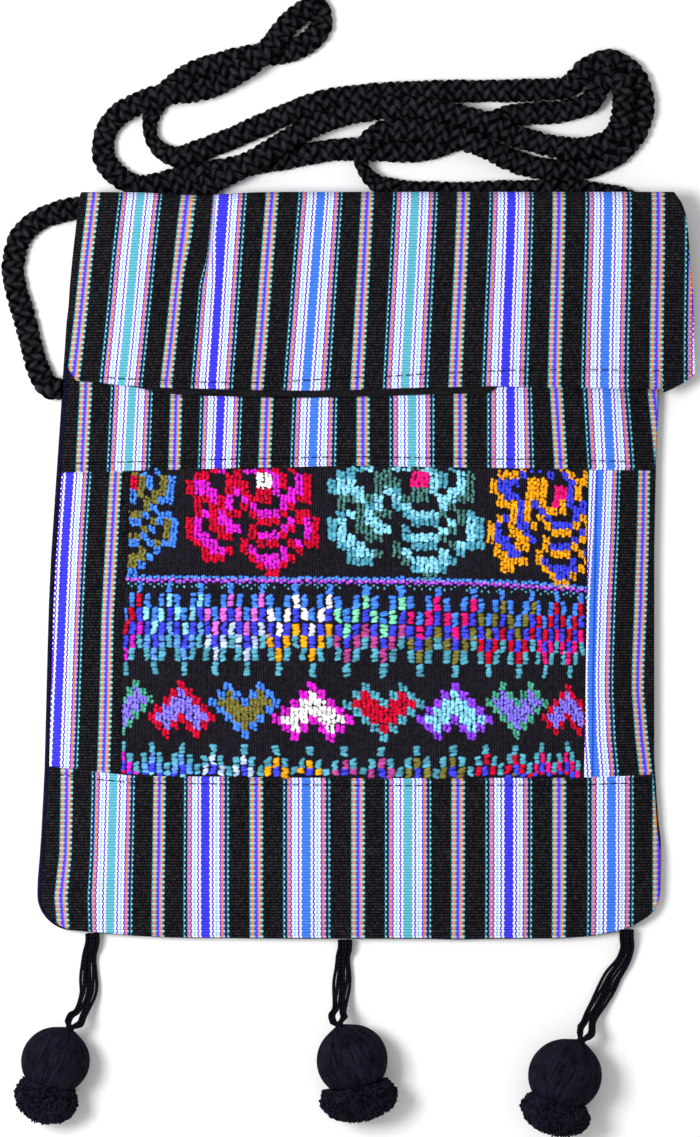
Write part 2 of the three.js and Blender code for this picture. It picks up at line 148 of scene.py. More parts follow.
def new_finish(name, roughness, gloss=0.05):
    """A material with its shader, ready for its nodes."""
    material = bpy.data.materials.new(name)
    material.use_nodes = True
    shader = material.node_tree.nodes["Principled BSDF"]
    shader.inputs["Roughness"].default_value = roughness
    shader.inputs["Specular IOR Level"].default_value = gloss
    return material, shader, Shade(material.node_tree)


def colour_finish(shade, shader, colour):
    shade.tree.links.new(colour.socket, shader.inputs["Base Color"])


def bump_finish(shade, shader, height, distance):
    bump = shade.node("ShaderNodeBump", {}, {"Height": height, "Distance": distance})
    shade.tree.links.new(bump.socket, shader.inputs["Normal"])


def new_piece(name, points, faces, material):
    """A smooth mesh from points in rows of x, y and z and faces in rows of point numbers."""
    mesh = bpy.data.meshes.new(name)
    mesh.from_pydata(np.asarray(points).tolist(), [], faces)
    mesh.polygons.foreach_set("use_smooth", np.ones(len(mesh.polygons), bool))
    mesh.materials.append(material)
    piece = bpy.data.objects.new(name, mesh)
    bpy.context.scene.collection.objects.link(piece)
    return piece


def table_finish():
    material, shader, shade = new_finish("table_top", 0.9)
    cloudy = shade.noise(shade.place(), 3.0)
    colour_finish(shade, shader, cloudy.mix(dye(250, 250, 251), dye(254, 254, 254)))
    return material


table_corners = [(-TABLE_REACH, -TABLE_REACH, 0), (TABLE_REACH, -TABLE_REACH, 0)]
table_corners += [(TABLE_REACH, TABLE_REACH, 0), (-TABLE_REACH, TABLE_REACH, 0)]
table = new_piece("table_top", table_corners, [(0, 1, 2, 3)], table_finish())


for light_name, (light_place, width, power) in LIGHTS.items():
    lamp = bpy.data.lights.new(light_name, "AREA")
    lamp.size = width
    lamp.energy = power
    light = bpy.data.objects.new(light_name, lamp)
    light.location = light_place
    light.rotation_euler = (-light.location).to_track_quat("-Z", "Y").to_euler()
    bpy.context.scene.collection.objects.link(light)

world = bpy.data.worlds.new("room")
bpy.context.scene.world = world
world.use_nodes = True
world.node_tree.nodes["Background"].inputs["Color"].default_value = (1.0, 1.0, 1.0, 1.0)
world.node_tree.nodes["Background"].inputs["Strength"].default_value = ROOM_LIGHT
bpy.context.scene.view_settings.view_transform = "Standard"

camera_data = bpy.data.cameras.new("photo_camera")
camera_data.sensor_width = SENSOR
camera_data.lens = SENSOR * (CAMERA_HEIGHT - BAG_LEVEL) / IMAGE_HEIGHT
camera = bpy.data.objects.new("photo_camera", camera_data)
camera.location = (*IMAGE_MIDDLE, CAMERA_HEIGHT)
bpy.context.scene.collection.objects.link(camera)
bpy.context.scene.camera = camera

# Back of the bag: one plain dark cotton cloth, flat on the table and rolled up to the seams at its sides.
# It shows past the front as a thin dark edge, and its top end rides up over the strap beneath it.
CLOTH = 0.0014
SEAM_GAP = 0.0003
POUCH_BOTTOM = -0.1358
POUCH_TOP = 0.118
SEAM_HEIGHT = 0.003
CORNER = 0.012  # the roll of the seam follows the bottom corners with this radius
CORNERS = {"left": (0.0115, 0.0115), "right": (0.004, 0.006)}  # width and height of the bottom corners
BACK_ROLL = 0.012
STRAP_LIFT = 0.0058
LIFT_START = 0.078
LIFT_END = 0.118
EDGE_SWELL = 0.00045  # a folded edge stands out by this much
RIB = 0.0010  # one rib of the weave
BACK_THREAD = 0.00045
BACK_GRID = (90, 120)  # columns and rows of its mesh
LINT_SCALE = 900.0
LINT_SIZE = 0.16
LINT_COVER = 0.6
# Height, left edge and right edge of the pouch
POUCH_SIDES = np.array([
    (-0.1358, -0.1196, 0.1052),
    (-0.1193, -0.1193, 0.1055),
    (-0.1107, -0.1186, 0.1055),
    (-0.1021, -0.1180, 0.1045),
    (-0.078, -0.1168, 0.1031),
    (-0.033, -0.1157, 0.1031),
    (-0.0157, -0.1152, 0.1031),
    (0.0016, -0.1144, 0.1031),
    (0.034, -0.1123, 0.1037),
    (0.059, -0.1106, 0.1047),
    (0.064, -0.1104, 0.1047),
    (0.087, -0.1088, 0.1044),
    (0.118, -0.1046, 0.1046),
])
# Bottom edge, which rises towards its corners: distance to the right, and height
BOTTOM_EDGE = np.array([
    (-0.1196, -0.1308),
    (-0.1103, -0.1321),
    (-0.1022, -0.1328),
    (-0.0963, -0.1335),
    (-0.0853, -0.1343),
    (-0.0720, -0.1350),
    (-0.0280, -0.1354),
    (0.0688, -0.1353),
    (0.0801, -0.1345),
    (0.0887, -0.1330),
    (0.0924, -0.1321),
    (0.0964, -0.1304),
    (0.1012, -0.1274),
    (0.1055, -0.1238),
])


def between(table, at, column=1):
    """The value of a table's column where its first column has the given value."""
    return np.interp(at, table[:, 0], table[:, column])


def roll(inset, width):
    """From 0 at an edge to 1 at a distance from it, as a quarter of a wave."""
    return np.sin(np.pi / 2 * np.clip(inset / width, 0, 1))


def ease(value, start, end):
    share = np.clip((value - start) / (end - start), 0, 1)
    return share * share * (3 - 2 * share)


def lift(y):
    return STRAP_LIFT * ease(y, LIFT_START, LIFT_END)


pouch_bottom = partial(between, BOTTOM_EDGE)


def seam_inset(x, y):
    """Distance inwards from the seam, with round bottom corners."""
    left = between(POUCH_SIDES, y, 1)
    right = between(POUCH_SIDES, y, 2)
    across = np.abs(x - (left + right) / 2) - ((right - left) / 2 - CORNER)
    down = pouch_bottom(x) + CORNER - y
    outside = np.hypot(np.maximum(across, 0), np.maximum(down, 0))
    return CORNER - outside - np.minimum(np.maximum(across, down), 0)


def corner_draw(height, width, reach):
    """How far a round corner draws the side in, at a height above the edge."""
    below = np.maximum(1 - height / reach, 0)
    return width * (1 - np.sqrt(1 - below**2))


def back_under(x, y):
    return lift(y) + SEAM_HEIGHT * (1 - roll(seam_inset(x, y), BACK_ROLL))


def closer_at_ends(count):
    """Shares from 0 to 1 that lie closer together at both ends."""
    return (1 - np.cos(np.pi * np.arange(count + 1) / count)) / 2


def set_weave(piece, weave):
    """Threads counted across the cloth and ribs counted along it, for the weave of its material."""
    attribute = piece.data.attributes.new("weave", "FLOAT_VECTOR", "POINT")
    flat = np.zeros((len(weave), 3))
    flat[:, :weave.shape[1]] = weave
    attribute.data.foreach_set("vector", flat.ravel())


def cloth_piece(name, under, upper, weave, material):
    """A closed cloth from grids of its under and upper points, with its edges rounded as a fold is."""
    rows, columns = upper.shape[:2]
    grid = np.arange(rows * columns).reshape(rows, columns)
    border = np.concatenate([grid[0, :-1], grid[:-1, -1], grid[-1, :0:-1], grid[:0:-1, 0]])
    inside = np.concatenate([grid[1, :-1], grid[:-1, -2], grid[-2, :0:-1], grid[:0:-1, 1]])
    corners = [0, columns - 1, columns + rows - 2, 2 * columns + rows - 3]
    inside[corners] = [grid[1, 1], grid[1, -2], grid[-2, -2], grid[-2, 1]]
    upper_points = upper.reshape(-1, 3)
    under_points = under.reshape(-1, 3)
    middle = (upper_points + under_points) / 2
    outwards = middle[border] - middle[inside]
    outwards /= np.linalg.norm(outwards, axis=1, keepdims=True)
    edge = middle[border] + EDGE_SWELL * outwards
    points = np.vstack([upper_points, under_points, edge])
    low, high = grid[:-1, :-1].ravel(), grid[1:, 1:].ravel()
    faces = np.stack([low, grid[:-1, 1:].ravel(), high, grid[1:, :-1].ravel()], axis=1)
    count = rows * columns
    rim = 2 * count + np.arange(len(border))
    nexts = np.roll(np.arange(len(border)), -1)
    over = np.stack([rim, rim[nexts], border[nexts], border], axis=1)
    beneath = np.stack([border + count, border[nexts] + count, rim[nexts], rim], axis=1)
    all_faces = np.vstack([faces, faces[:, ::-1] + count, over, beneath])
    piece = new_piece(name, points, all_faces.tolist(), material)
    threads = weave.reshape(-1, 2)
    set_weave(piece, np.vstack([threads, threads, threads[border]]))
    return piece


def top_float(shade):
    """The thread that shows at each place of the weave: neighbours change places at every rib."""
    run = shade.run()
    across = run.part(0)
    along = run.part(1)
    row = shade.math("FLOOR", along)
    odd = row % 2
    thread = 2 * shade.math("FLOOR", (across - odd + 0.5) / 2) + odd
    side = across - thread - 0.5
    rise = (along - row) * 2 - 1
    return thread, row, side, rise


def float_height(side, rise, grain):
    """Height of one float, from 1 in its middle to 0 at its ends, and lower at its sides by the grain."""
    return (1 - side * side * grain) * (1 - rise * rise * rise * rise)


def float_chance(shade, thread, row):
    """A random share for each float."""
    place = shade.node("ShaderNodeCombineXYZ", {}, {0: thread, 1: row})
    return shade.node("ShaderNodeTexWhiteNoise", {"noise_dimensions": "2D"}, {"Vector": place})


def lint(shade, place, amount):
    """Specks of lint: small spots at random places."""
    inputs = {"Vector": place, "Scale": LINT_SCALE}
    spot = shade.node("ShaderNodeTexVoronoi", {}, inputs, "Distance")
    chance = shade.node("ShaderNodeTexVoronoi", {}, inputs, "Color")
    return (spot < LINT_SIZE) * (chance.part(0) < amount) * LINT_COVER


def plain_finish(name, dark, light, bump, grain=1.0):
    """Plain dark cotton in two close shades, with fine ribs and a little lint; each float is painted lighter
    on its crest and darker at its ends, as painted shade. Less grain joins the ribs.
    """
    material, shader, shade = new_finish(name, 0.9)
    thread, row, side, rise = top_float(shade)
    height = float_height(side, rise, grain)
    place = shade.place()
    faded = shade.noise(place, 55.0)
    # Painted shade: lighter on the crest of each float, with random fading and a random share for each float
    lightness = height * 0.7 + faded * 0.2 + float_chance(shade, thread, row) * 0.3
    colour = lint(shade, place, 0.02).mix((lightness * lightness).mix(dark, light), dye(110, 108, 114))
    colour_finish(shade, shader, colour)
    bump_finish(shade, shader, height, bump)
    return material


def back_points(columns, rows):
    share_x = closer_at_ends(columns)[None, :]
    heights = POUCH_BOTTOM + (POUCH_TOP - POUCH_BOTTOM) * closer_at_ends(rows)[:, None]
    left = between(POUCH_SIDES, heights, 1) + corner_draw(heights - POUCH_BOTTOM, *CORNERS["left"])
    right = between(POUCH_SIDES, heights, 2) - corner_draw(heights - POUCH_BOTTOM, *CORNERS["right"])
    x = left + (right - left) * share_x
    share_y = (heights - POUCH_BOTTOM) / (POUCH_TOP - POUCH_BOTTOM)
    y = pouch_bottom(x) + (POUCH_TOP - pouch_bottom(x)) * share_y
    return x, y


def stacked(x, y, z):
    return np.stack([x, y, z], axis=-1)


def laid_piece(name, x, y, under, upper, weave, material, node):
    """A cloth from grids of its places, its under and upper heights and the counts of its weave."""
    piece = cloth_piece(name, stacked(x, y, under), stacked(x, y, upper), np.stack(weave, axis=-1), material)
    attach(piece, "root")
    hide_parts(node)
    return piece


back_x, back_y = back_points(*BACK_GRID)
back_z = back_under(back_x, back_y)
back_panel = laid_piece(
    "back_cloth",
    back_x,
    back_y,
    back_z,
    back_z + CLOTH,
    (back_x / BACK_THREAD, back_y / RIB),
    plain_finish("plain_back_cotton", dye(8, 10, 24), dye(34, 40, 76), 0.00025),
    "back_panel",
)

# Striped bands and side strips of the front: warp-faced cotton, whose coloured warp threads hide the weft.
# Narrow and wide groups of stripes stand in turn on black, each wide group with a middle of its own colour.
# The upper band runs up under the flap, the lower band closes the bottom, and the strips frame the brocade.
THREADS = 38  # warp threads from the middle of a wide group to the middle of the next narrow one
# Those threads in their order: how many show side by side, and their dye
WARP = [
    (3.35, "black"),
    (1.55, "white"),
    (1.3, "violet"),
    (1.4, "white"),
    (1.6, "sky"),
    (1.4, "white"),
    (1.15, "violet"),
    (1.65, "orange"),
    (1.1, "lilac"),
    (1.6, "black"),
    (1.3, "teal"),
    (15.5, "black"),
    (1.3, "teal"),
    (1.75, "amber"),
    (1.15, "blue"),
    (0.9, "violet"),
]
WARP_SWAY = 0.34  # a thread sways to each side by this share of its width, from rib to rib
# Dyes on even ribs and on odd ribs, where the neighbour of the same pair of threads comes up
WARP_DYES = {
    "white": (dye(246, 246, 250), dye(242, 244, 252)),
    "sky": (dye(120, 204, 246), dye(176, 230, 250)),
    "violet": (dye(92, 36, 240), dye(112, 62, 246)),
    "orange": (dye(236, 118, 52), dye(246, 154, 84)),
    "amber": (dye(238, 140, 70), dye(246, 176, 104)),
    "lilac": (dye(98, 116, 238), dye(150, 164, 248)),
    "teal": (dye(38, 104, 124), dye(112, 208, 228)),
    "blue": (dye(84, 134, 246), dye(104, 168, 248)),
    "black": (dye(6, 5, 10), dye(9, 8, 14)),
}
WIDE_MIDDLES = [dye(96, 184, 206), dye(60, 56, 242), dye(66, 126, 244)]
WIDE_MIDDLE = 3.35  # threads from the middle of a wide group to its white edge
MOUTH = 0.114
BROCADE_TOP = 0.035
BROCADE_BOTTOM = -0.077
POUCH_DEPTH = 0.007
FRONT_ROLL = 0.026
FRONT_RISE = POUCH_DEPTH - SEAM_HEIGHT - SEAM_GAP
BAND_COLUMNS = 110
UPPER_ROWS = 90
UPPER_CLOSER = 1.6  # above 1, the rows lie closer together at the seam
LOWER_ROWS = 80
MIDDLE_ROWS = 100
STRIP_COLUMNS = 24
# The back shows past the front by this much
BACK_SHOWS = {"left": 0.0018, "right": 0.0004, "bottom": 0.0004}
STITCH_GROOVE = 0.0004  # depth of the line that the topstitching presses in
GROOVE_WIDTH = 0.0007
STITCH_INSET = {"upper": 0.0031, "lower": 0.0025}  # from the edge to the topstitching
# Seams across the front: distance to the right, and height
UPPER_BAND_EDGE = np.array([(-0.112, 0.0333), (-0.007, 0.0358), (0.104, 0.0340)])
LOWER_BAND_EDGE = np.array([
    (-0.117, -0.0729),
    (-0.084, -0.0764),
    (0.0, -0.0772),
    (0.078, -0.0770),
    (0.104, -0.0760),
])
# Height, left seam and right seam of the brocade panel
BROCADE_SIDES = np.array([
    (-0.078, -0.0896, 0.0776),
    (-0.049, -0.0889, 0.0781),
    (-0.020, -0.0885, 0.0785),
    (-0.013, -0.0880, 0.0786),
    (0.005, -0.0869, 0.0789),
    (0.036, -0.0858, 0.0794),
])
# Sharp crease along the right strip: height and place
STRIP_CREASE = np.array([(-0.076, 0.0812), (-0.040, 0.0813), (-0.012, 0.0819), (0.034, 0.0827)])
CREASE_WIDTH = 0.0004
CREASE_DEPTH = 0.0011
CREASE_COLUMNS = np.linspace(0.08, 0.22, 33)  # shares of the strip's width where its mesh is closer
# Soft hollows in the front and in the flap over it: middle, reach across, reach along and depth
HOLLOWS = [
    (-0.0545, 0.124, 0.009, 0.028, 0.0015),
    (0.082, -0.020, 0.005, 0.060, 0.0006),
    (-0.108, -0.092, 0.007, 0.016, 0.0009),
    (-0.010, -0.020, 0.060, 0.045, 0.0008),
]
HOLLOW_CLEAR = 0.008
# Ripples of the loose cloth: waves across and along to a metre, turn of the wave and its height
RIPPLES = [(190, 60, 0.4, 0.00022), (-90, 210, 1.7, 0.00016), (330, 140, 2.9, 0.00009)]
# Middles of the stripes: number of the first one, then a height and the places at that height, from below
UPPER_REST = [-0.0020, 0.0157, 0.0329, 0.0513]
UPPER_STRIPES = (0, [
    (0.0358, [-0.1035, -0.0866, -0.0700, -0.0542, -0.0376, -0.0203, *UPPER_REST, 0.0693, 0.0873, 0.1060]),
    (0.0628, [-0.1021, -0.0851, -0.0693, -0.0531, -0.0365, -0.0193, *UPPER_REST, 0.0675, 0.0859, 0.1031]),
])
LOWER_REST = [-0.0589, -0.0405, -0.0225, -0.0038, 0.0142, 0.0322, 0.0506, 0.0686, 0.0877, 0.1049]
LOWER_STRIPES = (0, [
    (-0.1316, [-0.1103, -0.0934, -0.0761, *LOWER_REST]),
    (-0.1200, [-0.1111, -0.0931, -0.0760, *LOWER_REST]),
    (-0.1050, [-0.1095, -0.0927, -0.0757, *LOWER_REST]),
    (-0.0794, [-0.1090, -0.0920, -0.0754, *LOWER_REST]),
])
LEFT_STRIPES = (3, [
    (-0.0745, [-0.1130, -0.0956]),
    (-0.0488, [-0.1120, -0.0948]),
    (-0.0200, [-0.1108, -0.0942]),
    (0.0016, [-0.1099, -0.0930]),
    (0.0140, [-0.1091, -0.0923]),
    (0.0340, [-0.1077, -0.0911]),
])
RIGHT_STRIPES = (5, [
    (-0.0749, [0.0818, 0.1001]),
    (-0.0625, [0.0808, 0.0986]),
    (-0.0460, [0.0805, 0.0972]),
    (-0.0378, [0.0805, 0.0973]),
    (-0.0130, [0.0812, 0.0983]),
    (0.0118, [0.0826, 0.0991]),
    (0.0324, [0.0834, 0.0995]),
])


def hollow(x, y):
    depth = np.zeros(np.broadcast(x, y).shape)
    for middle_x, middle_y, reach_x, reach_y, deep in HOLLOWS:
        depth += deep * np.exp(-(((x - middle_x) / reach_x) ** 2) - ((y - middle_y) / reach_y) ** 2)
    return depth * roll(seam_inset(x, y), HOLLOW_CLEAR)


def ripple(x, y):
    height = np.zeros(np.broadcast(x, y).shape)
    for across, along, turn, high in RIPPLES:
        height += high * np.sin(across * x + along * y + turn)
    return height * roll(seam_inset(x, y), HOLLOW_CLEAR)


def front_under(x, y):
    seam = lift(y) + CLOTH + SEAM_GAP + SEAM_HEIGHT
    return seam + FRONT_RISE * roll(seam_inset(x, y), FRONT_ROLL) - hollow(x, y) + ripple(x, y)


def groove(distance):
    """Height of the cloth along a line of stitches, by the distance from it."""
    return -STITCH_GROOVE * np.exp(-((distance / GROOVE_WIDTH) ** 2))


def threads_across(x, y, stripes):
    """Warp threads counted across a striped cloth, from the places of its stripes' middles."""
    first, rows = stripes
    heights = [height for height, places in rows]
    middles = [np.interp(y, heights, column) for column in zip(*(places for height, places in rows))]
    count = np.full(np.broadcast(x, y).shape, float(first))
    last = len(middles) - 2
    for number in range(last + 1):
        part = (x - middles[number]) / (middles[number + 1] - middles[number])
        lowest = -np.inf if number == 0 else 0
        highest = np.inf if number == last else 1
        count += np.clip(part, lowest, highest)
    return count * THREADS


def stripe_stops(odd):
    """The warp's colours from the middle of a wide group to that of a narrow one, on even or odd ribs."""
    stops = []
    passed = 0.0
    for count, name in WARP:
        stops.append((passed / THREADS, WARP_DYES[name][odd]))
        passed += count
    return stops


def striped_finish():
    material, shader, shade = new_finish("striped_cotton", 0.85)
    run = shade.run()
    along = run.part(1)
    row = shade.math("FLOOR", along)
    waved = run.part(0) + shade.math("SINE", along * math.pi) * WARP_SWAY
    folded = shade.math("PINGPONG", waved - THREADS, THREADS)
    even_ribs = shade.node("ShaderNodeValToRGB", {"stops": stripe_stops(0)}, {0: folded / THREADS})
    odd_ribs = shade.node("ShaderNodeValToRGB", {"stops": stripe_stops(1)}, {0: folded / THREADS})
    warp = (row % 2).mix(even_ribs, odd_ribs)
    group = shade.math("FLOOR", waved / (2 * THREADS)) % 3
    middle_stops = [(number / 3, colour) for number, colour in enumerate(WIDE_MIDDLES)]
    middle = shade.node("ShaderNodeValToRGB", {"stops": middle_stops}, {0: (group + 0.5) / 3})
    colour = (folded < WIDE_MIDDLE).mix(warp, middle)
    rise = (along - row) * 2 - 1
    rib = 1 - rise * rise
    strand = shade.math("PINGPONG", waved, 0.5) * 2
    height = rib * (strand * 0.3 + 0.7)
    chance = float_chance(shade, shade.math("FLOOR", waved), row)
    place = shade.place()
    cloudy = shade.noise(place, 90.0)
    # Painted shade: each rib is lighter on its crest and darker between ribs, with random tone for each float
    # and in clouds
    colour = colour.scaled(0.66 + height * 0.62 + chance * 0.16 + cloudy * 0.12)
    # Grey fluff at random, with a painted sheen on every rib crest
    fluff_and_crest_sheen = height * height * (chance * chance * 0.14 + 0.026)
    colour = fluff_and_crest_sheen.mix(colour, dye(150, 146, 150))
    colour_finish(shade, shader, lint(shade, place, 0.012).mix(colour, dye(130, 126, 130)))
    bump_finish(shade, shader, height, 0.00035)
    return material


def front_left(height):
    return between(POUCH_SIDES, height, 1) + BACK_SHOWS["left"]


def front_right(height):
    return between(POUCH_SIDES, height, 2) - BACK_SHOWS["right"]


upper_edge = partial(between, UPPER_BAND_EDGE)
lower_edge = partial(between, LOWER_BAND_EDGE)


def laid(columns, heights, left, right, low, high):
    """Places of a cloth between two side edges and two cross edges, from heights in rows."""
    rows = heights[:, None]
    x = left(rows) + (right(rows) - left(rows)) * columns[None, :]
    share = (rows - heights[0]) / (heights[-1] - heights[0])
    y = low(x) + (high(x) - low(x)) * share
    return x, y


# Topstitching of the bands: black sewing thread, each stitch a low dome in the groove that it pulls in.
# The turns of thread on the brocade are domes of the same form.
TURN_SIDES = 6
# A stitch or turn from its rim to its top: share of its half width, share of its height, and lightness of its
# dye as painted shade, darkest at the rim
TURN_RINGS = [(1.0, -0.10, 0.60), (0.70, 0.78, 0.97)]
# The top of each turn is lightened: a painted highlight
TURN_TOP_HIGHLIGHT = 1.16  # lightness of its dye at the top
TURN_CORNERS = 0.55  # the lower, the squarer its oval
STITCH_LENGTH = 0.0034
STITCH_SPACE = 0.0003
STITCH_WIDTH = 0.00046
STITCH_RISE = 0.00035  # the sewing thread stands up from the bottom of its groove by this much
STITCH_SWAY = 0.02

chance = np.random.default_rng(41)


def squared(wave):
    """A wave with fuller flanks, for ovals with square corners."""
    return np.sign(wave) * np.abs(wave) ** TURN_CORNERS


def turns_piece(name, rows, level, tall, material):
    """Low oval domes on the cloth, one for each turn or stitch of thread."""
    rows = np.array(rows)
    x, y, wide, high, slant = rows[:, :5].T
    around = 2 * np.pi * np.arange(TURN_SIDES) / TURN_SIDES
    points = []
    for share, rise, tone in TURN_RINGS:
        local_x = wide[:, None] * share * squared(np.cos(around))
        local_y = high[:, None] * share * squared(np.sin(around))
        ring_x = x[:, None] + local_x * np.cos(slant)[:, None] - local_y * np.sin(slant)[:, None]
        ring_y = y[:, None] + local_x * np.sin(slant)[:, None] + local_y * np.cos(slant)[:, None]
        ring_z = level(ring_x, ring_y) + rise * tall
        points.append(stacked(ring_x, ring_y, ring_z))
    top = stacked(x, y, level(x, y) + tall)[:, None, :]
    all_points = np.concatenate([*points, top], axis=1)
    per_turn = all_points.shape[1]
    faces = []
    for ring in range(len(TURN_RINGS) - 1):
        for side in range(TURN_SIDES):
            after = (side + 1) % TURN_SIDES
            low = ring * TURN_SIDES
            faces.append((low + side, low + after, low + TURN_SIDES + after, low + TURN_SIDES + side))
    last = (len(TURN_RINGS) - 1) * TURN_SIDES
    caps = [(last + side, last + (side + 1) % TURN_SIDES, per_turn - 1) for side in range(TURN_SIDES)]
    base = [tuple(range(TURN_SIDES))[::-1]]
    all_faces = []
    for number in range(len(rows)):
        start = number * per_turn
        for face in faces + caps + base:
            all_faces.append(tuple(start + corner for corner in face))
    return new_piece(name, all_points.reshape(-1, 3), all_faces, material)


def sewing_finish():
    material, shader, shade = new_finish("black_sewing_thread", 0.8)
    twist = shade.noise(shade.place(), 2500.0)
    colour_finish(shade, shader, twist.mix(dye(4, 4, 6), dye(26, 25, 30)))
    bump_finish(shade, shader, twist, 0.0001)
    return material


sewing = sewing_finish()


def topstitching(name, start, end, line, level):
    """Black sewing thread along a line across the bag: each stitch lies in the groove that it pulls in."""
    rows = []
    for place in np.arange(start, end, STITCH_LENGTH + STITCH_SPACE):
        middle = place + STITCH_LENGTH / 2
        rise = line(place + STITCH_LENGTH) - line(place)
        slant = math.atan2(rise, STITCH_LENGTH) + chance.normal(0, STITCH_SWAY)
        rows.append((middle, line(middle), STITCH_LENGTH / 2, STITCH_WIDTH / 2, slant))
    piece = turns_piece(name, rows, lambda x, y: level(x, y) - STITCH_GROOVE, STITCH_RISE, sewing)
    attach(piece, "root")
    return piece


def front_upper(x, y):
    return front_under(x, y) + CLOTH


stripes_material = striped_finish()


def striped_piece(name, x, y, z, stripes, node, pressed=0.0, sewn=()):
    """A striped cloth on the front, with its stitch line pressed in."""
    weave = (threads_across(x, y, stripes), y / RIB)
    piece = laid_piece(name, x, y, z, z + CLOTH + pressed, weave, stripes_material, node)


def upper_stitch_line(x):
    return upper_edge(x) + STITCH_INSET["upper"]


upper_x, upper_y = laid(
    closer_at_ends(BAND_COLUMNS),
    BROCADE_TOP + (MOUTH - BROCADE_TOP) * np.linspace(0, 1, UPPER_ROWS) ** UPPER_CLOSER,
    front_left,
    front_right,
    upper_edge,
    lambda x: MOUTH,
)
striped_piece(
    "upper_striped_band",
    upper_x,
    upper_y,
    front_under(upper_x, upper_y),
    UPPER_STRIPES,
    "front_upper_band",
    groove(upper_y - upper_stitch_line(upper_x)),
    [topstitching("upper_topstitching", -0.106, 0.100, upper_stitch_line, front_upper)],
)

lower_start = POUCH_BOTTOM + BACK_SHOWS["bottom"]


def lower_left(height):
    return front_left(height) + corner_draw(height - lower_start, *CORNERS["left"])


def lower_right(height):
    return front_right(height) - corner_draw(height - lower_start, *CORNERS["right"])


def lower_hem(x):
    return pouch_bottom(x) + BACK_SHOWS["bottom"]


def lower_stitch_line(x):
    return lower_edge(x) - STITCH_INSET["lower"]


lower_x, lower_y = laid(
    closer_at_ends(BAND_COLUMNS),
    lower_start + (BROCADE_BOTTOM - lower_start) * closer_at_ends(LOWER_ROWS),
    lower_left,
    lower_right,
    lower_hem,
    lower_edge,
)
striped_piece(
    "lower_striped_band",
    lower_x,
    lower_y,
    front_under(lower_x, lower_y),
    LOWER_STRIPES,
    "front_lower_band",
    groove(lower_y - lower_stitch_line(lower_x)),
    [topstitching("lower_topstitching", -0.113, 0.099, lower_stitch_line, front_upper)],
)

middle_heights = np.linspace(BROCADE_BOTTOM, BROCADE_TOP, MIDDLE_ROWS)
brocade_left = partial(between, BROCADE_SIDES, column=1)
brocade_right = partial(between, BROCADE_SIDES, column=2)


def middle_low(x):
    return lower_edge(x) + SEAM_GAP


def middle_high(x):
    return upper_edge(x) - SEAM_GAP


def strip_piece(name, left, right, columns, stripes, node, crease=0.0):
    x, y = laid(columns, middle_heights, left, right, middle_low, middle_high)
    deep = crease * np.exp(-(((x - between(STRIP_CREASE, y)) / CREASE_WIDTH) ** 2))
    striped_piece(name, x, y, front_under(x, y) - deep, stripes, node)


strip_columns = np.linspace(0, 1, STRIP_COLUMNS)
strip_piece(
    "left_striped_strip",
    front_left,
    lambda height: brocade_left(height) - SEAM_GAP,
    strip_columns,
    LEFT_STRIPES,
    "front_left_strip",
)
strip_piece(
    "right_striped_strip",
    lambda height: brocade_right(height) + SEAM_GAP,
    front_right,
    np.union1d(strip_columns, CREASE_COLUMNS),
    RIGHT_STRIPES,
    "front_right_strip",
    CREASE_DEPTH,
)

# Brocade panel: black cotton turned on its side, so that its ribs stand upright.
# Its flowers, hearts, arrows and steps are wound on while weaving: each small block is a few turns of bright
# thread round a group of warp threads, and stands up from the cloth.
GROUND_RIB = 0.00084
GROUND_THREAD = 0.0005
PANEL_COLUMNS = 130
TURN_HEIGHT = 0.00062  # the turns stand up from the cloth by this much
BROCADE_DYES = {
    "red": (208, 4, 50),
    "magenta": (226, 34, 212),
    "white": (250, 248, 250),
    "blue": (70, 136, 248),
    "olive": (124, 118, 54),
    "teal": (76, 130, 124),
    "cyan": (142, 218, 244),
    "pink": (244, 20, 124),
    "orange": (252, 170, 20),
    "royal": (64, 70, 236),
    "green": (76, 168, 140),
    "lavender": (140, 122, 248),
    "violet": (148, 68, 244),
    "steel": (84, 164, 188),
    "ice": (190, 210, 252),
    "orchid": (222, 108, 222),
    "mint": (132, 230, 186),
    "plum": (186, 70, 148),
    "sky": (100, 160, 248),
}
# Flower seen from the front: o outline, e outer edge, i inside, a the spot of another colour
WHOLE_FLOWER = [
    "....oii..oo......",
    ".oooi...i.io.o...",
    "oiii.ooo...ioo...",
    "oii..ooo.aaio.io.",
    ".oii.ooo.aaio.io.",
    ".oooioio.aoi.iio.",
    "...oio.iooo.iioo.",
    ".oioio.oi...io...",
    "oi.oiio.oiiio.ooo",
    "oi.ooi...ooo.ioio",
    "oii.ooi.o...io.io",
    ".oiioo..oiiio..io",
    ".ooii..o.ooo.oioo",
    "..oooo.oi...i.o..",
    "..oo....oiiiio...",
    ".........oiio....",
    "..........oo.....",
]
# The flowers whose upper end lies under the band, with their left half one row lower
CUT_FLOWER = [
    "..eei.oiioie.e...",
    ".ee..oo..aaie.io.",
    "eii..ooo.aaie.io.",
    "eiii.oie.ooi.iio.",
    ".ooioi.iooo.iioo.",
    ".o.oei.ei...io...",
    ".eioioo.eiiio.oe.",
    "ei.oii...eee.ioie",
    "ei.ooii.e...io.ie",
    "eii.oo..eiiio..ie",
    ".eii...o.eee.oiee",
    "..eiio.oi...i.e..",
    "..eee...oiiiie...",
    ".........eiie....",
    "..........oo.....",
]
ARROW = ["....o....", "...oio...", "..oiiio..", ".oiiiiio.", "oiiioiiio", ".oio.oio.", "..o...o.."]
HEART = ARROW[::-1]
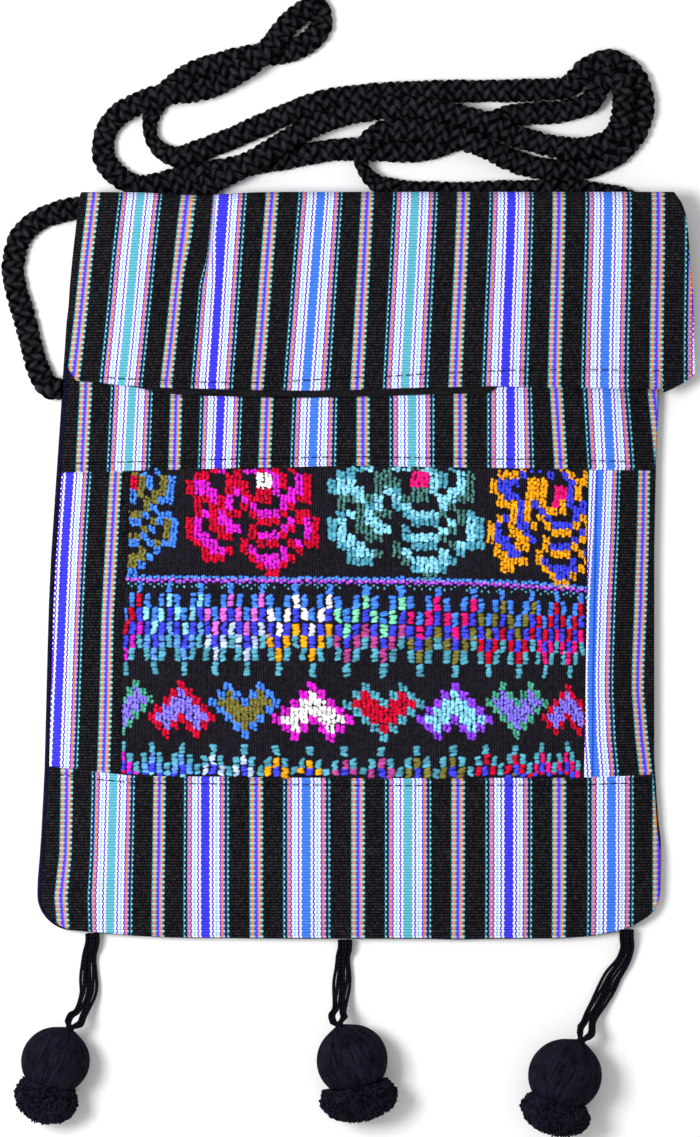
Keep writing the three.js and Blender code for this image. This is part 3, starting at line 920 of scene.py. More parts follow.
# Flowers: chart, place of the first column and row, width and height of a block, slant of a row, and colours
# of the outline, the outer edge, the inside and the spot
FLOWERS = [
    (CUT_FLOWER, -0.1106, 0.0333, 0.00266, 0.00256, -0.00025, "blue blue olive red"),
    (CUT_FLOWER, -0.0643, 0.0342, 0.00282, 0.00265, 0.0, "red red magenta white"),
    (CUT_FLOWER, -0.0130, 0.0349, 0.00333, 0.00280, 0.0, "teal steel cyan pink"),
    (WHOLE_FLOWER, 0.04582, 0.03478, 0.00252, 0.00259, -0.00016, "orange orange royal pink"),
]
# Hearts and arrows: chart, middle, top row, width and height of a block, and colours of outline and inside
FIGURES = [
    (HEART, -0.0886, -0.0431, 0.00248, 0.00275, "green lavender"),
    (ARROW, -0.0674, -0.0435, 0.00273, 0.00288, "red lavender"),
    (HEART, -0.0446, -0.0440, 0.00288, 0.00284, "blue olive"),
    (ARROW, -0.0200, -0.0440, 0.00328, 0.00299, "magenta white"),
    (HEART, 0.0057, -0.0444, 0.00326, 0.00292, "steel red"),
    (ARROW, 0.0311, -0.0442, 0.00310, 0.00292, "violet cyan"),
    (HEART, 0.0536, -0.0442, 0.00248, 0.00277, "green lavender"),
    (ARROW, 0.0719, -0.0447, 0.00212, 0.00259, "red lavender"),
]
# Steps: columns of five blocks that climb and fall over four columns, with two colours that change in turn
STEP_FALL = [2, 1, 0, 1]
STEP_COLUMNS = np.array([
    (0, -0.0878),
    (2, -0.0826),
    (10, -0.0607),
    (18, -0.0383),
    (26, -0.0142),
    (34, 0.0121),
    (42, 0.0379),
    (50, 0.0593),
    (58, 0.0767),
])
STEP_FIRST = 3  # columns with the first pair of colours
STEP_REPEAT = 8  # columns with each pair after it
STEP_PAIRS = [
    ("red", "magenta"),
    ("cyan", "sky"),
    ("orchid", "ice"),
    ("white", "orange"),
    ("mint", "plum"),
    ("pink", "olive"),
    ("olive", "red"),
    ("red", "pink"),
]
# Heights of the seven rows of the upper steps at four places from left to right
STEP_PLACES = [-0.0880, -0.0139, 0.0293, 0.0761]
UPPER_STEP_ROWS = [
    (-0.0080, -0.0126, -0.0178, -0.0229, -0.0277, -0.0321, -0.0373),
    (-0.0090, -0.0134, -0.0182, -0.0236, -0.0277, -0.0325, -0.0380),
    (-0.0101, -0.0144, -0.0198, -0.0248, -0.0286, -0.0333, -0.0383),
    (-0.0123, -0.0162, -0.0207, -0.0256, -0.0300, -0.0338, -0.0386),
]
# Heights of the lower steps, which hang upside down and run under the lower band
LOWER_STEP_ROWS = [
    (-0.0657, -0.0693, -0.0729, -0.0761),
    (-0.0674, -0.0722, -0.0754, -0.0790),
    (-0.0674, -0.0712, -0.0749, -0.0785),
    (-0.0657, -0.0693, -0.0727, -0.0761),
]
LOWER_STEP_SHIFT = -0.0009
STEP = 0.0047  # height of a step
STEP_TURNS = 4
SHORT_STEP = 0.0036  # height of the steps in the top row and at the lower band
SHORT_STEP_TURNS = 3
STEP_FULL = 0.84  # the turns of a step fill this share of its column, and the cloth shows between them
# Twined line under the flowers: place and height
TWINED_LINE = np.array([
    (-0.0877, -0.0052),
    (-0.0427, -0.0056),
    (0.0113, -0.0059),
    (0.0401, -0.0067),
    (0.0617, -0.0077),
    (0.0790, -0.0092),
])
TWINE_PITCH = 0.00134
# Its two strands, as beads over each other that stand high and low by turns: height, half width, half
# height and dye. Loose turns hang below some of them.
TWINE_BEADS = [
    [(0.00098, 0.00100, 0.00066, (70, 136, 248)), (-0.00002, 0.00098, 0.00074, (206, 104, 240))],
    [(0.00058, 0.00072, 0.00060, (90, 166, 250)), (-0.00064, 0.00080, 0.00072, (168, 72, 236))],
]
TWINE_LOOSE = [(-0.0017, 0.00062, 0.00048), (-0.0027, 0.00050, 0.00060)]
TWINE_LOOSE_SHARE = 0.75
# Hand winding: how far a turn and a block are out of place and out of line, and least and most of
# a turn's width, height and tone
TURN_SHIFT = 0.00017
TURN_SLANT = (0.16, 0.30)  # middle and spread
TURN_WIDE = (0.86, 1.12)
TURN_HIGH = (0.86, 1.14)
TURN_TONE = (0.68, 1.24)
BLOCK_SHIFT = (0.00016, 0.00013)
BLOCK_LEAN = 0.06
BLOCK_TURNS = (2, 3)  # columns of turns in a block of a motif, and turns in a column
COLUMN_FULL = (0.56, 0.68)  # least and most half width of a turn, in shares of its column
TURN_FULL = {1: 0.68, 2: 0.80}  # half height of a turn in shares of its step, by the number of columns
THIN_THREAD = {"teal": 0.72}  # the dull thread is thinner, so that the cloth shows between its turns
SHORT_TURN = 0.5  # a turn that a seam leaves less of isn't wound
SEAM_CLEAR = 0.4  # share of a step that stays clear of the seams

panel_x, panel_y = laid(
    np.linspace(0, 1, PANEL_COLUMNS), middle_heights, brocade_left, brocade_right, middle_low, middle_high
)
panel_z = front_under(panel_x, panel_y)
brocade_panel = laid_piece(
    "brocade_ground",
    panel_x,
    panel_y,
    panel_z,
    panel_z + CLOTH,
    (panel_y / GROUND_THREAD, panel_x / GROUND_RIB),
    plain_finish("brocade_ground_cotton", dye(2, 2, 4), dye(40, 37, 46), 0.0003, 0.35),
    "brocade_panel",
)

turns = []  # middle x and y, half width, half height, slant, colour of each turn of thread


def add_turn(x, y, half_width, half_height, colour):
    """One turn of thread, a little out of place and out of line as hand winding is."""
    shift_x, shift_y = chance.normal(0, TURN_SHIFT, 2)
    slant = chance.normal(*TURN_SLANT)
    wide = half_width * chance.uniform(*TURN_WIDE)
    high = half_height * chance.uniform(*TURN_HIGH)
    tone = chance.uniform(*TURN_TONE)
    turns.append((x + shift_x, y + shift_y, wide, high, slant, *(share * tone for share in dye(*colour)[:3])))


def add_block(x, y, width, height, columns, count, colour_name):
    """A block of turns in columns, a little out of line, and cut off where it runs into a seam."""
    block_x = x + chance.normal(0, BLOCK_SHIFT[0])
    block_y = y + chance.normal(0, BLOCK_SHIFT[1])
    lean = chance.normal(0, BLOCK_LEAN)
    part = width / columns
    half_width = part * chance.uniform(*COLUMN_FULL) * THIN_THREAD.get(colour_name, 1)
    step = height / count
    half_height = step * TURN_FULL[columns]
    for column in range(columns):
        turn_x = block_x + (column - (columns - 1) / 2) * part
        left = max(turn_x - half_width, brocade_left(y) + SEAM_GAP)
        right = min(turn_x + half_width, brocade_right(y) - SEAM_GAP)
        if right - left < half_width * SHORT_TURN:
            continue
        middle = (left + right) / 2
        offset = 0.25 * (columns - 1) * (-1) ** column  # neighbouring columns lie half a step apart
        for number in range(count):
            away = (number - (count - 1) / 2 + offset) * step
            if middle_low(x) + step * SEAM_CLEAR < y + away < middle_high(x) - step * SEAM_CLEAR:
                turn_colour = BROCADE_DYES[colour_name]
                add_turn(middle + lean * away, block_y + away, (right - left) / 2, half_height, turn_colour)


def add_motif(chart, first_x, first_y, block, row_height, row_slant, colours):
    """The blocks of a charted motif, row by row."""
    for down, row in enumerate(chart):
        for column, letter in enumerate(row):
            if letter != ".":
                block_x = first_x + block * column + row_slant * down
                block_y = first_y - row_height * down
                add_block(block_x, block_y, block, row_height, *BLOCK_TURNS, colours[letter])


for chart, first_x, first_y, block, row_height, row_slant, names in FLOWERS:
    add_motif(chart, first_x, first_y, block, row_height, row_slant, dict(zip("oeia", names.split())))
for chart, middle_x, first_y, block, row_height, names in FIGURES:
    first_x = middle_x - block * (len(chart[0]) // 2)
    add_motif(chart, first_x, first_y, block, row_height, 0.0, dict(zip("oi", names.split())))


def step_colours(column):
    """The five colours of a column of steps, from its upper end."""
    pair = STEP_PAIRS[0]
    if column >= STEP_FIRST:
        pair = STEP_PAIRS[1 + (column - STEP_FIRST) // STEP_REPEAT]
    return ["blue", pair[0], "royal", pair[1], "steel"]


def step_height(rows, x, number):
    return np.interp(x, STEP_PLACES, [row[number] for row in rows])


step_count = int(STEP_COLUMNS[-1, 0]) + 1
for column in range(step_count):
    step_x = between(STEP_COLUMNS, column)
    step_width = between(STEP_COLUMNS, column + 0.5) - between(STEP_COLUMNS, column - 0.5)
    if column in (0, step_count - 1):
        step_width *= 2
    step_width *= STEP_FULL
    fall = STEP_FALL[column % len(STEP_FALL)]
    colours = step_colours(column)
    for number, colour_name in enumerate(colours):
        row_y = step_height(UPPER_STEP_ROWS, step_x, fall + number)
        tall = SHORT_STEP if fall + number == 0 else STEP
        add_block(step_x, row_y, step_width, tall, 1, STEP_TURNS, colour_name)
    for number, colour_name in enumerate(colours[::-1]):
        level = 2 - fall + number
        if level < len(LOWER_STEP_ROWS[0]):
            row_y = step_height(LOWER_STEP_ROWS, step_x, level)
            hung_x = step_x + LOWER_STEP_SHIFT
            add_block(hung_x, row_y, step_width, SHORT_STEP, 1, SHORT_STEP_TURNS, colour_name)

twine_places = np.arange(brocade_left(0) + TWINE_PITCH / 2, brocade_right(0), TWINE_PITCH)
for number, twine_x in enumerate(twine_places):
    twine_y = between(TWINED_LINE, twine_x)
    for above, half_width, half_height, bead_colour in TWINE_BEADS[number % 2]:
        add_turn(twine_x, twine_y + above, half_width, half_height, bead_colour)
    above, half_width, half_height = TWINE_LOOSE[number % 2]
    if chance.uniform() < TWINE_LOOSE_SHARE:
        add_turn(twine_x, twine_y + above, half_width, half_height, BROCADE_DYES["steel"])


def thread_finish():
    """Bright soft thread in the colour of each turn, with painted shade at its rim, a painted highlight at
    its top and its fine twist.
    """
    material, shader, shade = new_finish("brocade_thread", 0.75, 0.12)
    colour = shade.node("ShaderNodeAttribute", {"attribute_name": "dye"}, {}, "Color")
    place = shade.place()
    fibre = shade.noise(place, 1150.0)
    blotch = shade.noise(place, 700.0)
    colour_finish(shade, shader, colour.scaled(0.26 + fibre * 0.95 + blotch * 0.6))
    bump_finish(shade, shader, fibre, 0.0002)
    return material


brocade_turns = turns_piece("brocade_turns", turns, front_upper, TURN_HEIGHT, thread_finish())
# Each turn's dye is darkened at its rim and lightened at its top, as painted shade and a painted highlight,
# and kept in the dye attribute
turn_ring_shading = np.append(np.repeat([tone for share, rise, tone in TURN_RINGS], TURN_SIDES), TURN_TOP_HIGHLIGHT)
turn_dyes_with_shading = np.ones((len(turns), len(turn_ring_shading), 4))
turn_dyes_with_shading[:, :, :3] = np.array(turns)[:, None, 5:] * turn_ring_shading[:, None]
turn_colours = brocade_turns.data.attributes.new("dye", "FLOAT_COLOR", "POINT")
turn_colours.data.foreach_set("color", turn_dyes_with_shading.ravel())
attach(brocade_turns, "root")

# Lining of the flap: plain black cotton under the striped cloth.
# It hangs a little below the flap's hem and shows there as a dark lip.
LINING = 0.0010
LINING_RIB = 0.0006
LINING_INSET = 0.0015
LINING_TOP = 0.112
LINING_COLUMNS = 100
LINING_ROWS = 50
HEM_CLOSER = 1.4  # above 1, the rows lie closer together at the hem
LAYER_GAP = 0.0006
# The lip's depth, its ends from left to right, and the lengths over which it fades in and out
LIP = {"depth": 0.0024, "from": -0.103, "enter": 0.040, "to": 0.0478, "leave": 0.003}
HEM_LEVEL = 0.062
FLAP_CORNER = {"left": (0.0045, 0.0088), "right": (0.013, 0.0076)}  # width and height
FLAP_CORNER_CURVE = 1.4  # at 1 the corners are cut straight
# Height, left edge and right edge of the flap
FLAP_SIDES = np.array([
    (0.062, -0.1096, 0.1175),
    (0.070, -0.1092, 0.1175),
    (0.099, -0.1070, 0.1164),
    (0.110, -0.1059, 0.1151),
    (0.119, -0.1049, 0.1145),
    (0.126, -0.1042, 0.1136),
    (0.1305, -0.1037, 0.1121),
    (0.1345, -0.1032, 0.1096),
])
# Hem: distance to the right, and height
HEM = np.array([
    (-0.1044, 0.0665),
    (-0.0967, 0.0656),
    (-0.0823, 0.0644),
    (-0.0715, 0.0639),
    (-0.0535, 0.0635),
    (-0.0391, 0.0631),
    (-0.0229, 0.0629),
    (-0.0052, 0.0631),
    (0.0128, 0.0637),
    (0.0308, 0.0641),
    (0.0445, 0.0644),
    (0.0517, 0.0642),
    (0.0851, 0.0635),
    (0.1050, 0.0631),
    (0.1062, 0.0612),
    (0.1180, 0.0614),
])


def lining_under(x, y):
    from_left = x - between(POUCH_SIDES, y, 1)
    from_right = between(FLAP_SIDES, y, 2) - x
    seam = lift(y) + 2 * CLOTH + SEAM_GAP + LAYER_GAP + SEAM_HEIGHT
    rise = FRONT_RISE * roll(np.minimum(from_left, from_right), FRONT_ROLL)
    return seam + rise - hollow(x, y) + ripple(x, y)


hem = partial(between, HEM)


def slanted_corner(height, width, reach):
    """How far a corner that is cut nearly straight draws the side in, at a height above the hem."""
    return width * np.maximum(1 - (height - HEM_LEVEL) / reach, 0) ** FLAP_CORNER_CURVE


def flap_left(height):
    return between(FLAP_SIDES, height, 1) + slanted_corner(height, *FLAP_CORNER["left"])


def flap_right(height):
    return between(FLAP_SIDES, height, 2) - slanted_corner(height, *FLAP_CORNER["right"])


def lip_edge(x):
    """Lower edge of the lining: its lip fades in and out along the hem."""
    enter = ease(x, LIP["from"], LIP["from"] + LIP["enter"])
    leave = 1 - ease(x, LIP["to"] - LIP["leave"], LIP["to"])
    return hem(x) + LINING_INSET - (LIP["depth"] + LINING_INSET) * enter * leave


lining_x, lining_y = laid(
    closer_at_ends(LINING_COLUMNS),
    HEM_LEVEL + (LINING_TOP - HEM_LEVEL) * np.linspace(0, 1, LINING_ROWS) ** HEM_CLOSER,
    lambda height: flap_left(height) + LINING_INSET,
    lambda height: flap_right(height) - LINING_INSET,
    lip_edge,
    lambda x: LINING_TOP,
)
lining_z = lining_under(lining_x, lining_y)
flap_lining = laid_piece(
    "flap_lining_cloth",
    lining_x,
    lining_y,
    lining_z,
    lining_z + LINING,
    (lining_x / BACK_THREAD, lining_y / LINING_RIB),
    plain_finish("black_lining_cotton", dye(5, 5, 6), dye(44, 42, 46), 0.0002),
    "flap_lining",
)

# Flap: striped cloth that comes up from the back, folds over the mouth and lies on the front.
# Its stripes fan out a little towards the lower left, and its hem is turned under and stitched.
HEM_PLACES = [-0.1067, -0.0887, -0.0729, -0.0563, -0.0401, -0.0225, -0.0041]
HEM_PLACES += [0.0131, 0.0311, 0.0491, 0.0668, 0.0848, 0.1035]
FOLD_PLACES = [-0.0988, -0.0819, -0.0653, -0.0517, -0.0347, -0.0171, -0.0005]
FOLD_PLACES += [0.0167, 0.0340, 0.0513, 0.0682, 0.0859, 0.1039]
FLAP_STRIPES = (0, [(0.0646, HEM_PLACES), (0.1312, FOLD_PLACES)])
# Topstitching of the hem, which runs away from it to the right: distance to the right, and height
HEM_SEWING = np.array([
    (-0.0985, 0.0675),
    (-0.0787, 0.0664),
    (-0.0607, 0.0657),
    (-0.0391, 0.0655),
    (-0.0229, 0.0662),
    (-0.0052, 0.0673),
    (0.0128, 0.0680),
    (0.0308, 0.0690),
    (0.0517, 0.0699),
    (0.0671, 0.0701),
    (0.1157, 0.0698),
])
FOLD_START = 0.126
FOLD_REACH = 0.0081
FOLD_STEPS = 18
FLAP_COLUMNS = 140
FLAP_ROWS = 88
BENEATH_STEPS = 5
# Short sharp tuck that runs down from the fold, between the third and the fourth group of stripes
TUCK_PLACE = -0.0547
TUCK_WIDTH = 0.0009
TUCK_DEPTH = 0.0006
TUCK_FADE = (0.098, 0.120)
TUCK_COLUMNS = np.linspace(0.2165, 0.2355, 13)  # shares of the flap's width where the mesh is closer
TUCK_GROUP = 2
TUCK_TAKES = 0.45  # share of the black between the groups that the tuck takes up
TUCK_GATHERS = (0.6, 0.8)
# Beside the tuck the fold is drawn in
DRAWN_PLACE = -0.062
DRAWN_WIDTH = 0.016
DRAWN_DEPTH = 0.0011


def tuck(x, y):
    return TUCK_DEPTH * np.exp(-(((x - TUCK_PLACE) / TUCK_WIDTH) ** 2)) * ease(y, *TUCK_FADE)


def fold_reach(x):
    """The fold stands out past its start by this much."""
    return FOLD_REACH - DRAWN_DEPTH * np.exp(-(((x - DRAWN_PLACE) / DRAWN_WIDTH) ** 2))


def flap_under(x, y):
    return lining_under(x, y) + LINING + LAYER_GAP - tuck(x, y)


def flap_upper(x, y):
    return flap_under(x, y) + CLOTH


flap_stitch_line = partial(between, HEM_SEWING)


def flap_across(heights):
    columns = np.union1d(closer_at_ends(FLAP_COLUMNS), TUCK_COLUMNS)
    return flap_left(heights) + (flap_right(heights) - flap_left(heights)) * columns


def flap_surface(side):
    """The flap's inner side (0) or outer side (1): up the front, round the fold, under to the back."""
    inside = (1 - side) * CLOTH
    shares = np.linspace(0, 1, FLAP_ROWS)[:-1, None] ** HEM_CLOSER
    heights = HEM_LEVEL + (FOLD_START - HEM_LEVEL) * shares
    x = flap_across(heights)
    y = hem(x) + (FOLD_START - hem(x)) * (heights - HEM_LEVEL) / (FOLD_START - HEM_LEVEL)
    z = flap_under(x, y) + side * (CLOTH + groove(y - flap_stitch_line(x)))
    turn = np.pi / 2 - np.pi * np.linspace(0, 1, FOLD_STEPS)[:, None]
    fold_x = flap_across(FOLD_START + FOLD_REACH * np.cos(turn))
    top = flap_upper(fold_x, FOLD_START)
    bottom = back_under(fold_x, FOLD_START)
    fold_y = FOLD_START + (fold_reach(fold_x) - inside) * np.cos(turn)
    fold_z = (top + bottom) / 2 + ((top - bottom) / 2 - inside) * np.sin(turn)
    down = np.linspace(FOLD_START, POUCH_TOP + SEAM_GAP, BENEATH_STEPS + 1)[1:, None]
    under_x = flap_across(down)
    under_y = down + 0 * under_x
    under_z = back_under(under_x, under_y) + inside
    all_x = np.vstack([x, fold_x, under_x])
    all_y = np.vstack([y, fold_y, under_y])
    return stacked(all_x, all_y, np.vstack([z, fold_z, under_z]))


flap_outer = flap_surface(1)
flap_steps = np.linalg.norm(np.diff(flap_outer[:, :, 1:], axis=0), axis=2)
flap_along = np.vstack([np.zeros(flap_outer.shape[1]), np.cumsum(flap_steps, axis=0)])
flap_along -= flap_along[-BENEATH_STEPS - FOLD_STEPS]  # the ribs are counted from the fold
flap_threads = threads_across(flap_outer[:, :, 0], flap_outer[:, :, 1], FLAP_STRIPES)
tucked_part = flap_threads / THREADS - TUCK_GROUP
tucked = TUCK_TAKES * ease(flap_outer[:, :, 1], *TUCK_FADE) * ((tucked_part > 0) & (tucked_part < 1))
flap_threads = flap_threads + tucked * (ease(tucked_part, *TUCK_GATHERS) - tucked_part) * THREADS
flap_weave = np.stack([flap_threads, flap_along / RIB], axis=-1)
flap = cloth_piece("striped_flap", flap_surface(0), flap_outer, flap_weave, stripes_material)
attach(flap, "root")
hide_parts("flap")
flap_sewing = topstitching("flap_topstitching", -0.098, 0.113, flap_stitch_line, flap_upper)

# Strap: a thick soft braid of black thread, where each of eight strands passes over one and under one.
# It leaves the right side seam under the flap, lies in loose folds above the bag and ends in the left seam.
BRAID_WIDTH = 0.0085
BRAID_THICKNESS = 0.0056
BRAID_LEAD = 0.0212  # a strand goes once round in this length
BRAID_STRANDS = 4  # in each direction
STRAND_WIDE = 0.00210  # half width of a strand, along the braid's skin
STRAND_THICK = 0.00112  # half thickness of a strand
STRAND_WEAVE = 0.00056  # a strand rises and dips by this much
# Unevenness of a hand braid: waves to a metre, turn from strand to strand, and height
STRAND_SWAYS = [(143, 2.1, 0.10), (411, -1.0, 0.09)]
STRAND_SWELL = (329, 3.7, 0.10)
STRAND_SIDES = 6
STRAP_RINGS = 1950
ROUTE_STEPS = 24
TABLE_CLEAR = 0.0001  # nothing that lies on the table comes lower
EDGE_ON = [8.4, 26.2]  # beside these points of its route the braid is turned on its edge and looks narrow
EDGE_ON_DRAW = 0.40
EDGE_ON_REACH = 0.009
# Middle line of the strap, from the right seam to the left seam
STRAP_ROUTE = [
    (0.1048, 0.0730, 0.0046), (0.1080, 0.0733, 0.0042), (0.1104, 0.0790, 0.0029),
    (0.1103, 0.0970, 0.0029), (0.1075, 0.1186, 0.0029), (0.0963, 0.1305, 0.0029),
    (0.0797, 0.1348, 0.0029), (0.0113, 0.1355, 0.0029), (0.0005, 0.1399, 0.0042),
    (-0.0027, 0.1485, 0.0076), (0.0049, 0.1561, 0.0080), (0.0221, 0.1568, 0.0080),
    (0.0383, 0.1521, 0.0080), (0.0574, 0.1445, 0.0032), (0.0751, 0.1431, 0.0029),
    (0.0913, 0.1496, 0.0029), (0.0995, 0.1636, 0.0029), (0.0970, 0.1759, 0.0029),
    (0.0877, 0.1827, 0.0029), (0.0790, 0.1795, 0.0029), (0.0725, 0.1733, 0.0029),
    (0.0599, 0.1719, 0.0029), (0.0113, 0.1708, 0.0029), (-0.0167, 0.1676, 0.0029),
    (-0.0563, 0.1517, 0.0029), (-0.0704, 0.1478, 0.0029), (-0.0783, 0.1539, 0.0029),
    (-0.0776, 0.1651, 0.0029), (-0.0650, 0.1773, 0.0029), (-0.0463, 0.1834, 0.0029),
    (-0.0270, 0.1864, 0.0029), (-0.0176, 0.1940, 0.0029), (-0.0186, 0.2022, 0.0029),
    (-0.0266, 0.1978, 0.0036), (-0.0388, 0.1837, 0.0080), (-0.0560, 0.1730, 0.0052),
    (-0.0787, 0.1683, 0.0080), (-0.0934, 0.1597, 0.0036), (-0.0956, 0.1471, 0.0029),
    (-0.0844, 0.1373, 0.0029), (-0.0643, 0.1409, 0.0029), (-0.0383, 0.1456, 0.0029),
    (-0.0103, 0.1503, 0.0029), (0.0171, 0.1499, 0.0029), (0.0326, 0.1539, 0.0029),
    (0.0502, 0.1622, 0.0029), (0.0711, 0.1643, 0.0029), (0.0805, 0.1676, 0.0044),
    (0.0848, 0.1748, 0.0078), (0.0902, 0.1744, 0.0079), (0.0920, 0.1658, 0.0073),
    (0.0891, 0.1553, 0.0068), (0.0761, 0.1503, 0.0056), (0.0545, 0.1546, 0.0054),
    (0.0419, 0.1597, 0.0078), (0.0113, 0.1651, 0.0080), (-0.0167, 0.1597, 0.0072),
    (-0.0401, 0.1467, 0.0080), (-0.0520, 0.1402, 0.0070), (-0.0643, 0.1345, 0.0029),
    (-0.0787, 0.1301, 0.0029), (-0.1111, 0.1280, 0.0029), (-0.1244, 0.1208, 0.0029),
    (-0.1287, 0.1075, 0.0029), (-0.1240, 0.0873, 0.0029), (-0.1186, 0.0686, 0.0034),
    (-0.1152, 0.0640, 0.0042), (-0.1109, 0.0636, 0.0046),
]


def through_points(route):
    """A smooth curve through given points, close together in its bends."""
    points = np.array(route)
    padded = np.vstack([2 * points[0] - points[1], points, 2 * points[-1] - points[-2]])
    share = np.linspace(0, 1, ROUTE_STEPS, endpoint=False)[:, None]
    curve = []
    for number in range(len(points) - 1):
        before, start, end, after = padded[number:number + 4]
        gaps = [np.linalg.norm(b - a) ** 0.5 for a, b in ((before, start), (start, end), (end, after))]
        leave = (start - before) / gaps[0] - (end - before) / (gaps[0] + gaps[1]) + (end - start) / gaps[1]
        arrive = (end - start) / gaps[1] - (after - start) / (gaps[1] + gaps[2]) + (after - end) / gaps[2]
        leave, arrive = leave * gaps[1], arrive * gaps[1]
        bend = -3 * start + 3 * end - 2 * leave - arrive
        twist = 2 * start - 2 * end + leave + arrive
        curve.append(start + leave * share + bend * share**2 + twist * share**3)
    return np.vstack([*curve, points[-1:]])


def length_of(path):
    return float(np.linalg.norm(np.diff(path, axis=0), axis=1).sum())


def evenly(path, count):
    """Points at even distances along a path."""
    steps = np.linalg.norm(np.diff(path, axis=0), axis=1)
    along = np.concatenate([[0], np.cumsum(steps)])
    places = np.linspace(0, along[-1], count)
    return np.stack([np.interp(places, along, path[:, axis]) for axis in range(3)], axis=1), places


def level_frames(path):
    """Directions across a path and up from it, with the section kept level."""
    tangent = np.gradient(path, axis=0)
    tangent /= np.linalg.norm(tangent, axis=1, keepdims=True)
    across = np.cross(tangent, (0, 0, 1))
    across /= np.linalg.norm(across, axis=1, keepdims=True)
    return across, np.cross(across, tangent)


def tube_faces(rings, sides, start):
    """Side faces and end caps of a tube whose points come ring by ring."""
    faces = []
    for ring in range(rings - 1):
        low = start + ring * sides
        for side in range(sides):
            after = (side + 1) % sides
            faces.append((low + side, low + after, low + sides + after, low + sides + side))
    last = start + (rings - 1) * sides
    faces.append(tuple(start + side for side in range(sides))[::-1])
    faces.append(tuple(last + side for side in range(sides)))
    return faces


def round_rings(middle, side, front, reach, sides):
    """Points ring by ring about a middle line, by their reach in two directions across it."""
    around = 2 * np.pi * np.arange(sides) / sides
    ring = np.cos(around)[:, None] * side[..., None, :] + np.sin(around)[:, None] * front[..., None, :]
    return (middle[:, None, :] + np.reshape(reach, (-1, 1, 1)) * ring).reshape(-1, 3)


def braid_piece(name, path, places, narrow, material):
    """Strands that wind round the path both ways, over and under each other."""
    across, up = level_frames(path)
    across = across * narrow[:, None]
    reach_x = BRAID_WIDTH / 2 - STRAND_THICK - STRAND_WEAVE
    reach_z = BRAID_THICKNESS / 2 - STRAND_THICK - STRAND_WEAVE
    around = 2 * np.pi * np.arange(STRAND_SIDES) / STRAND_SIDES
    turned, run = np.meshgrid(np.abs(around / (2 * np.pi) - 0.5), places)
    points, faces, runs = [], [], []

    def in_section(x, z):
        return x[:, None] * across + z[:, None] * up

    for direction in (1, -1):
        for strand in range(BRAID_STRANDS):
            angle = direction * 2 * np.pi * places / BRAID_LEAD + 2 * np.pi * (strand + 0.25) / BRAID_STRANDS
            for waves, turn, high in STRAND_SWAYS:
                angle = angle + high * np.sin(waves * places + turn * strand)
            waves, turn, high = STRAND_SWELL
            full = 1 + high * np.sin(waves * places + turn * strand * direction)
            outward = np.stack([reach_z * np.cos(angle), reach_x * np.sin(angle)])
            out_x, out_z = outward / np.linalg.norm(outward, axis=0)
            rise = direction * np.sin(BRAID_STRANDS * angle)
            middle_x = reach_x * np.cos(angle) + STRAND_WEAVE * rise * out_x
            middle_z = reach_z * np.sin(angle) + STRAND_WEAVE * rise * out_z
            middle = path + in_section(middle_x, middle_z)
            wide = STRAND_WIDE * in_section(-out_z, out_x)
            thick = STRAND_THICK * in_section(out_x, out_z)
            faces += tube_faces(len(path), STRAND_SIDES, len(points) * len(path) * STRAND_SIDES)
            points.append(round_rings(middle, wide, thick, full, STRAND_SIDES))
            # Painted highlight: the outer side of each strand is marked lighter where it rises over another
            crown_highlight = (0.5 + rise / 2)[:, None] * np.maximum(np.sin(around), 0)
            runs.append(stacked(turned, run, crown_highlight).reshape(-1, 3))
    all_points = np.vstack(points)
    all_points[:, 2] = np.maximum(all_points[:, 2], TABLE_CLEAR)
    piece = new_piece(name, all_points, faces, material)
    set_weave(piece, np.vstack(runs))
    return piece


def braid_finish():
    """Black thread with a painted highlight on the crown of each strand, and fine filaments along it."""
    material, shader, shade = new_finish("black_braid_thread", 0.6, 0.03)
    run = shade.run()
    place = shade.place()
    crown_highlight = run.part(2)
    filament = shade.math("SINE", run.part(0) * 95 + run.part(1) * 2600) * 0.5 + 0.5
    fuzz = shade.noise(place, 1500.0)
    cloudy = shade.noise(place, 420.0)
    # The painted highlight on the crowns, broken up by filaments, fuzz and clouds
    lightness = crown_highlight * crown_highlight * (filament * 0.4 + fuzz * 0.9 + cloudy * 2.2 - 0.9)
    colour_finish(shade, shader, lightness.mix(dye(4, 4, 6), dye(56, 53, 60)))
    bump_finish(shade, shader, filament * 0.6 + fuzz * 0.6, 0.00025)
    return material


strap_curve = through_points(STRAP_ROUTE)
strap_path, strap_places = evenly(strap_curve, STRAP_RINGS)
strap_narrow = np.ones(STRAP_RINGS)
for number in EDGE_ON:
    turned_at = length_of(strap_curve[:int(number * ROUTE_STEPS) + 1])
    strap_narrow -= EDGE_ON_DRAW * np.exp(-(((strap_places - turned_at) / EDGE_ON_REACH) ** 2))
strap = braid_piece("braided_strap", strap_path, strap_places, strap_narrow, braid_finish())
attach(strap, "root")
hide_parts("strap_cord")

# Tassels: bundles of black strands out of the bottom seam, each tied to a pompom.
# The strands part a little on their way and meet again in a small tie at the pompom's top.
BUNDLE_STRANDS = 6
BUNDLE_REACH = 0.0020  # from the middle of the bundle to its outer strands
BUNDLE_SWELL = 0.16  # half way the strands lie wider apart by this share
STRANDS_PART = [(0.89, 0.06, 0.0010), (0.45, 0.14, 0.0003)]  # partings: share of the way, reach and width
STRANDS_CLOSE = (0.95, 1.0)  # shares of the way between which the strands meet
STRANDS_MEET = 0.82
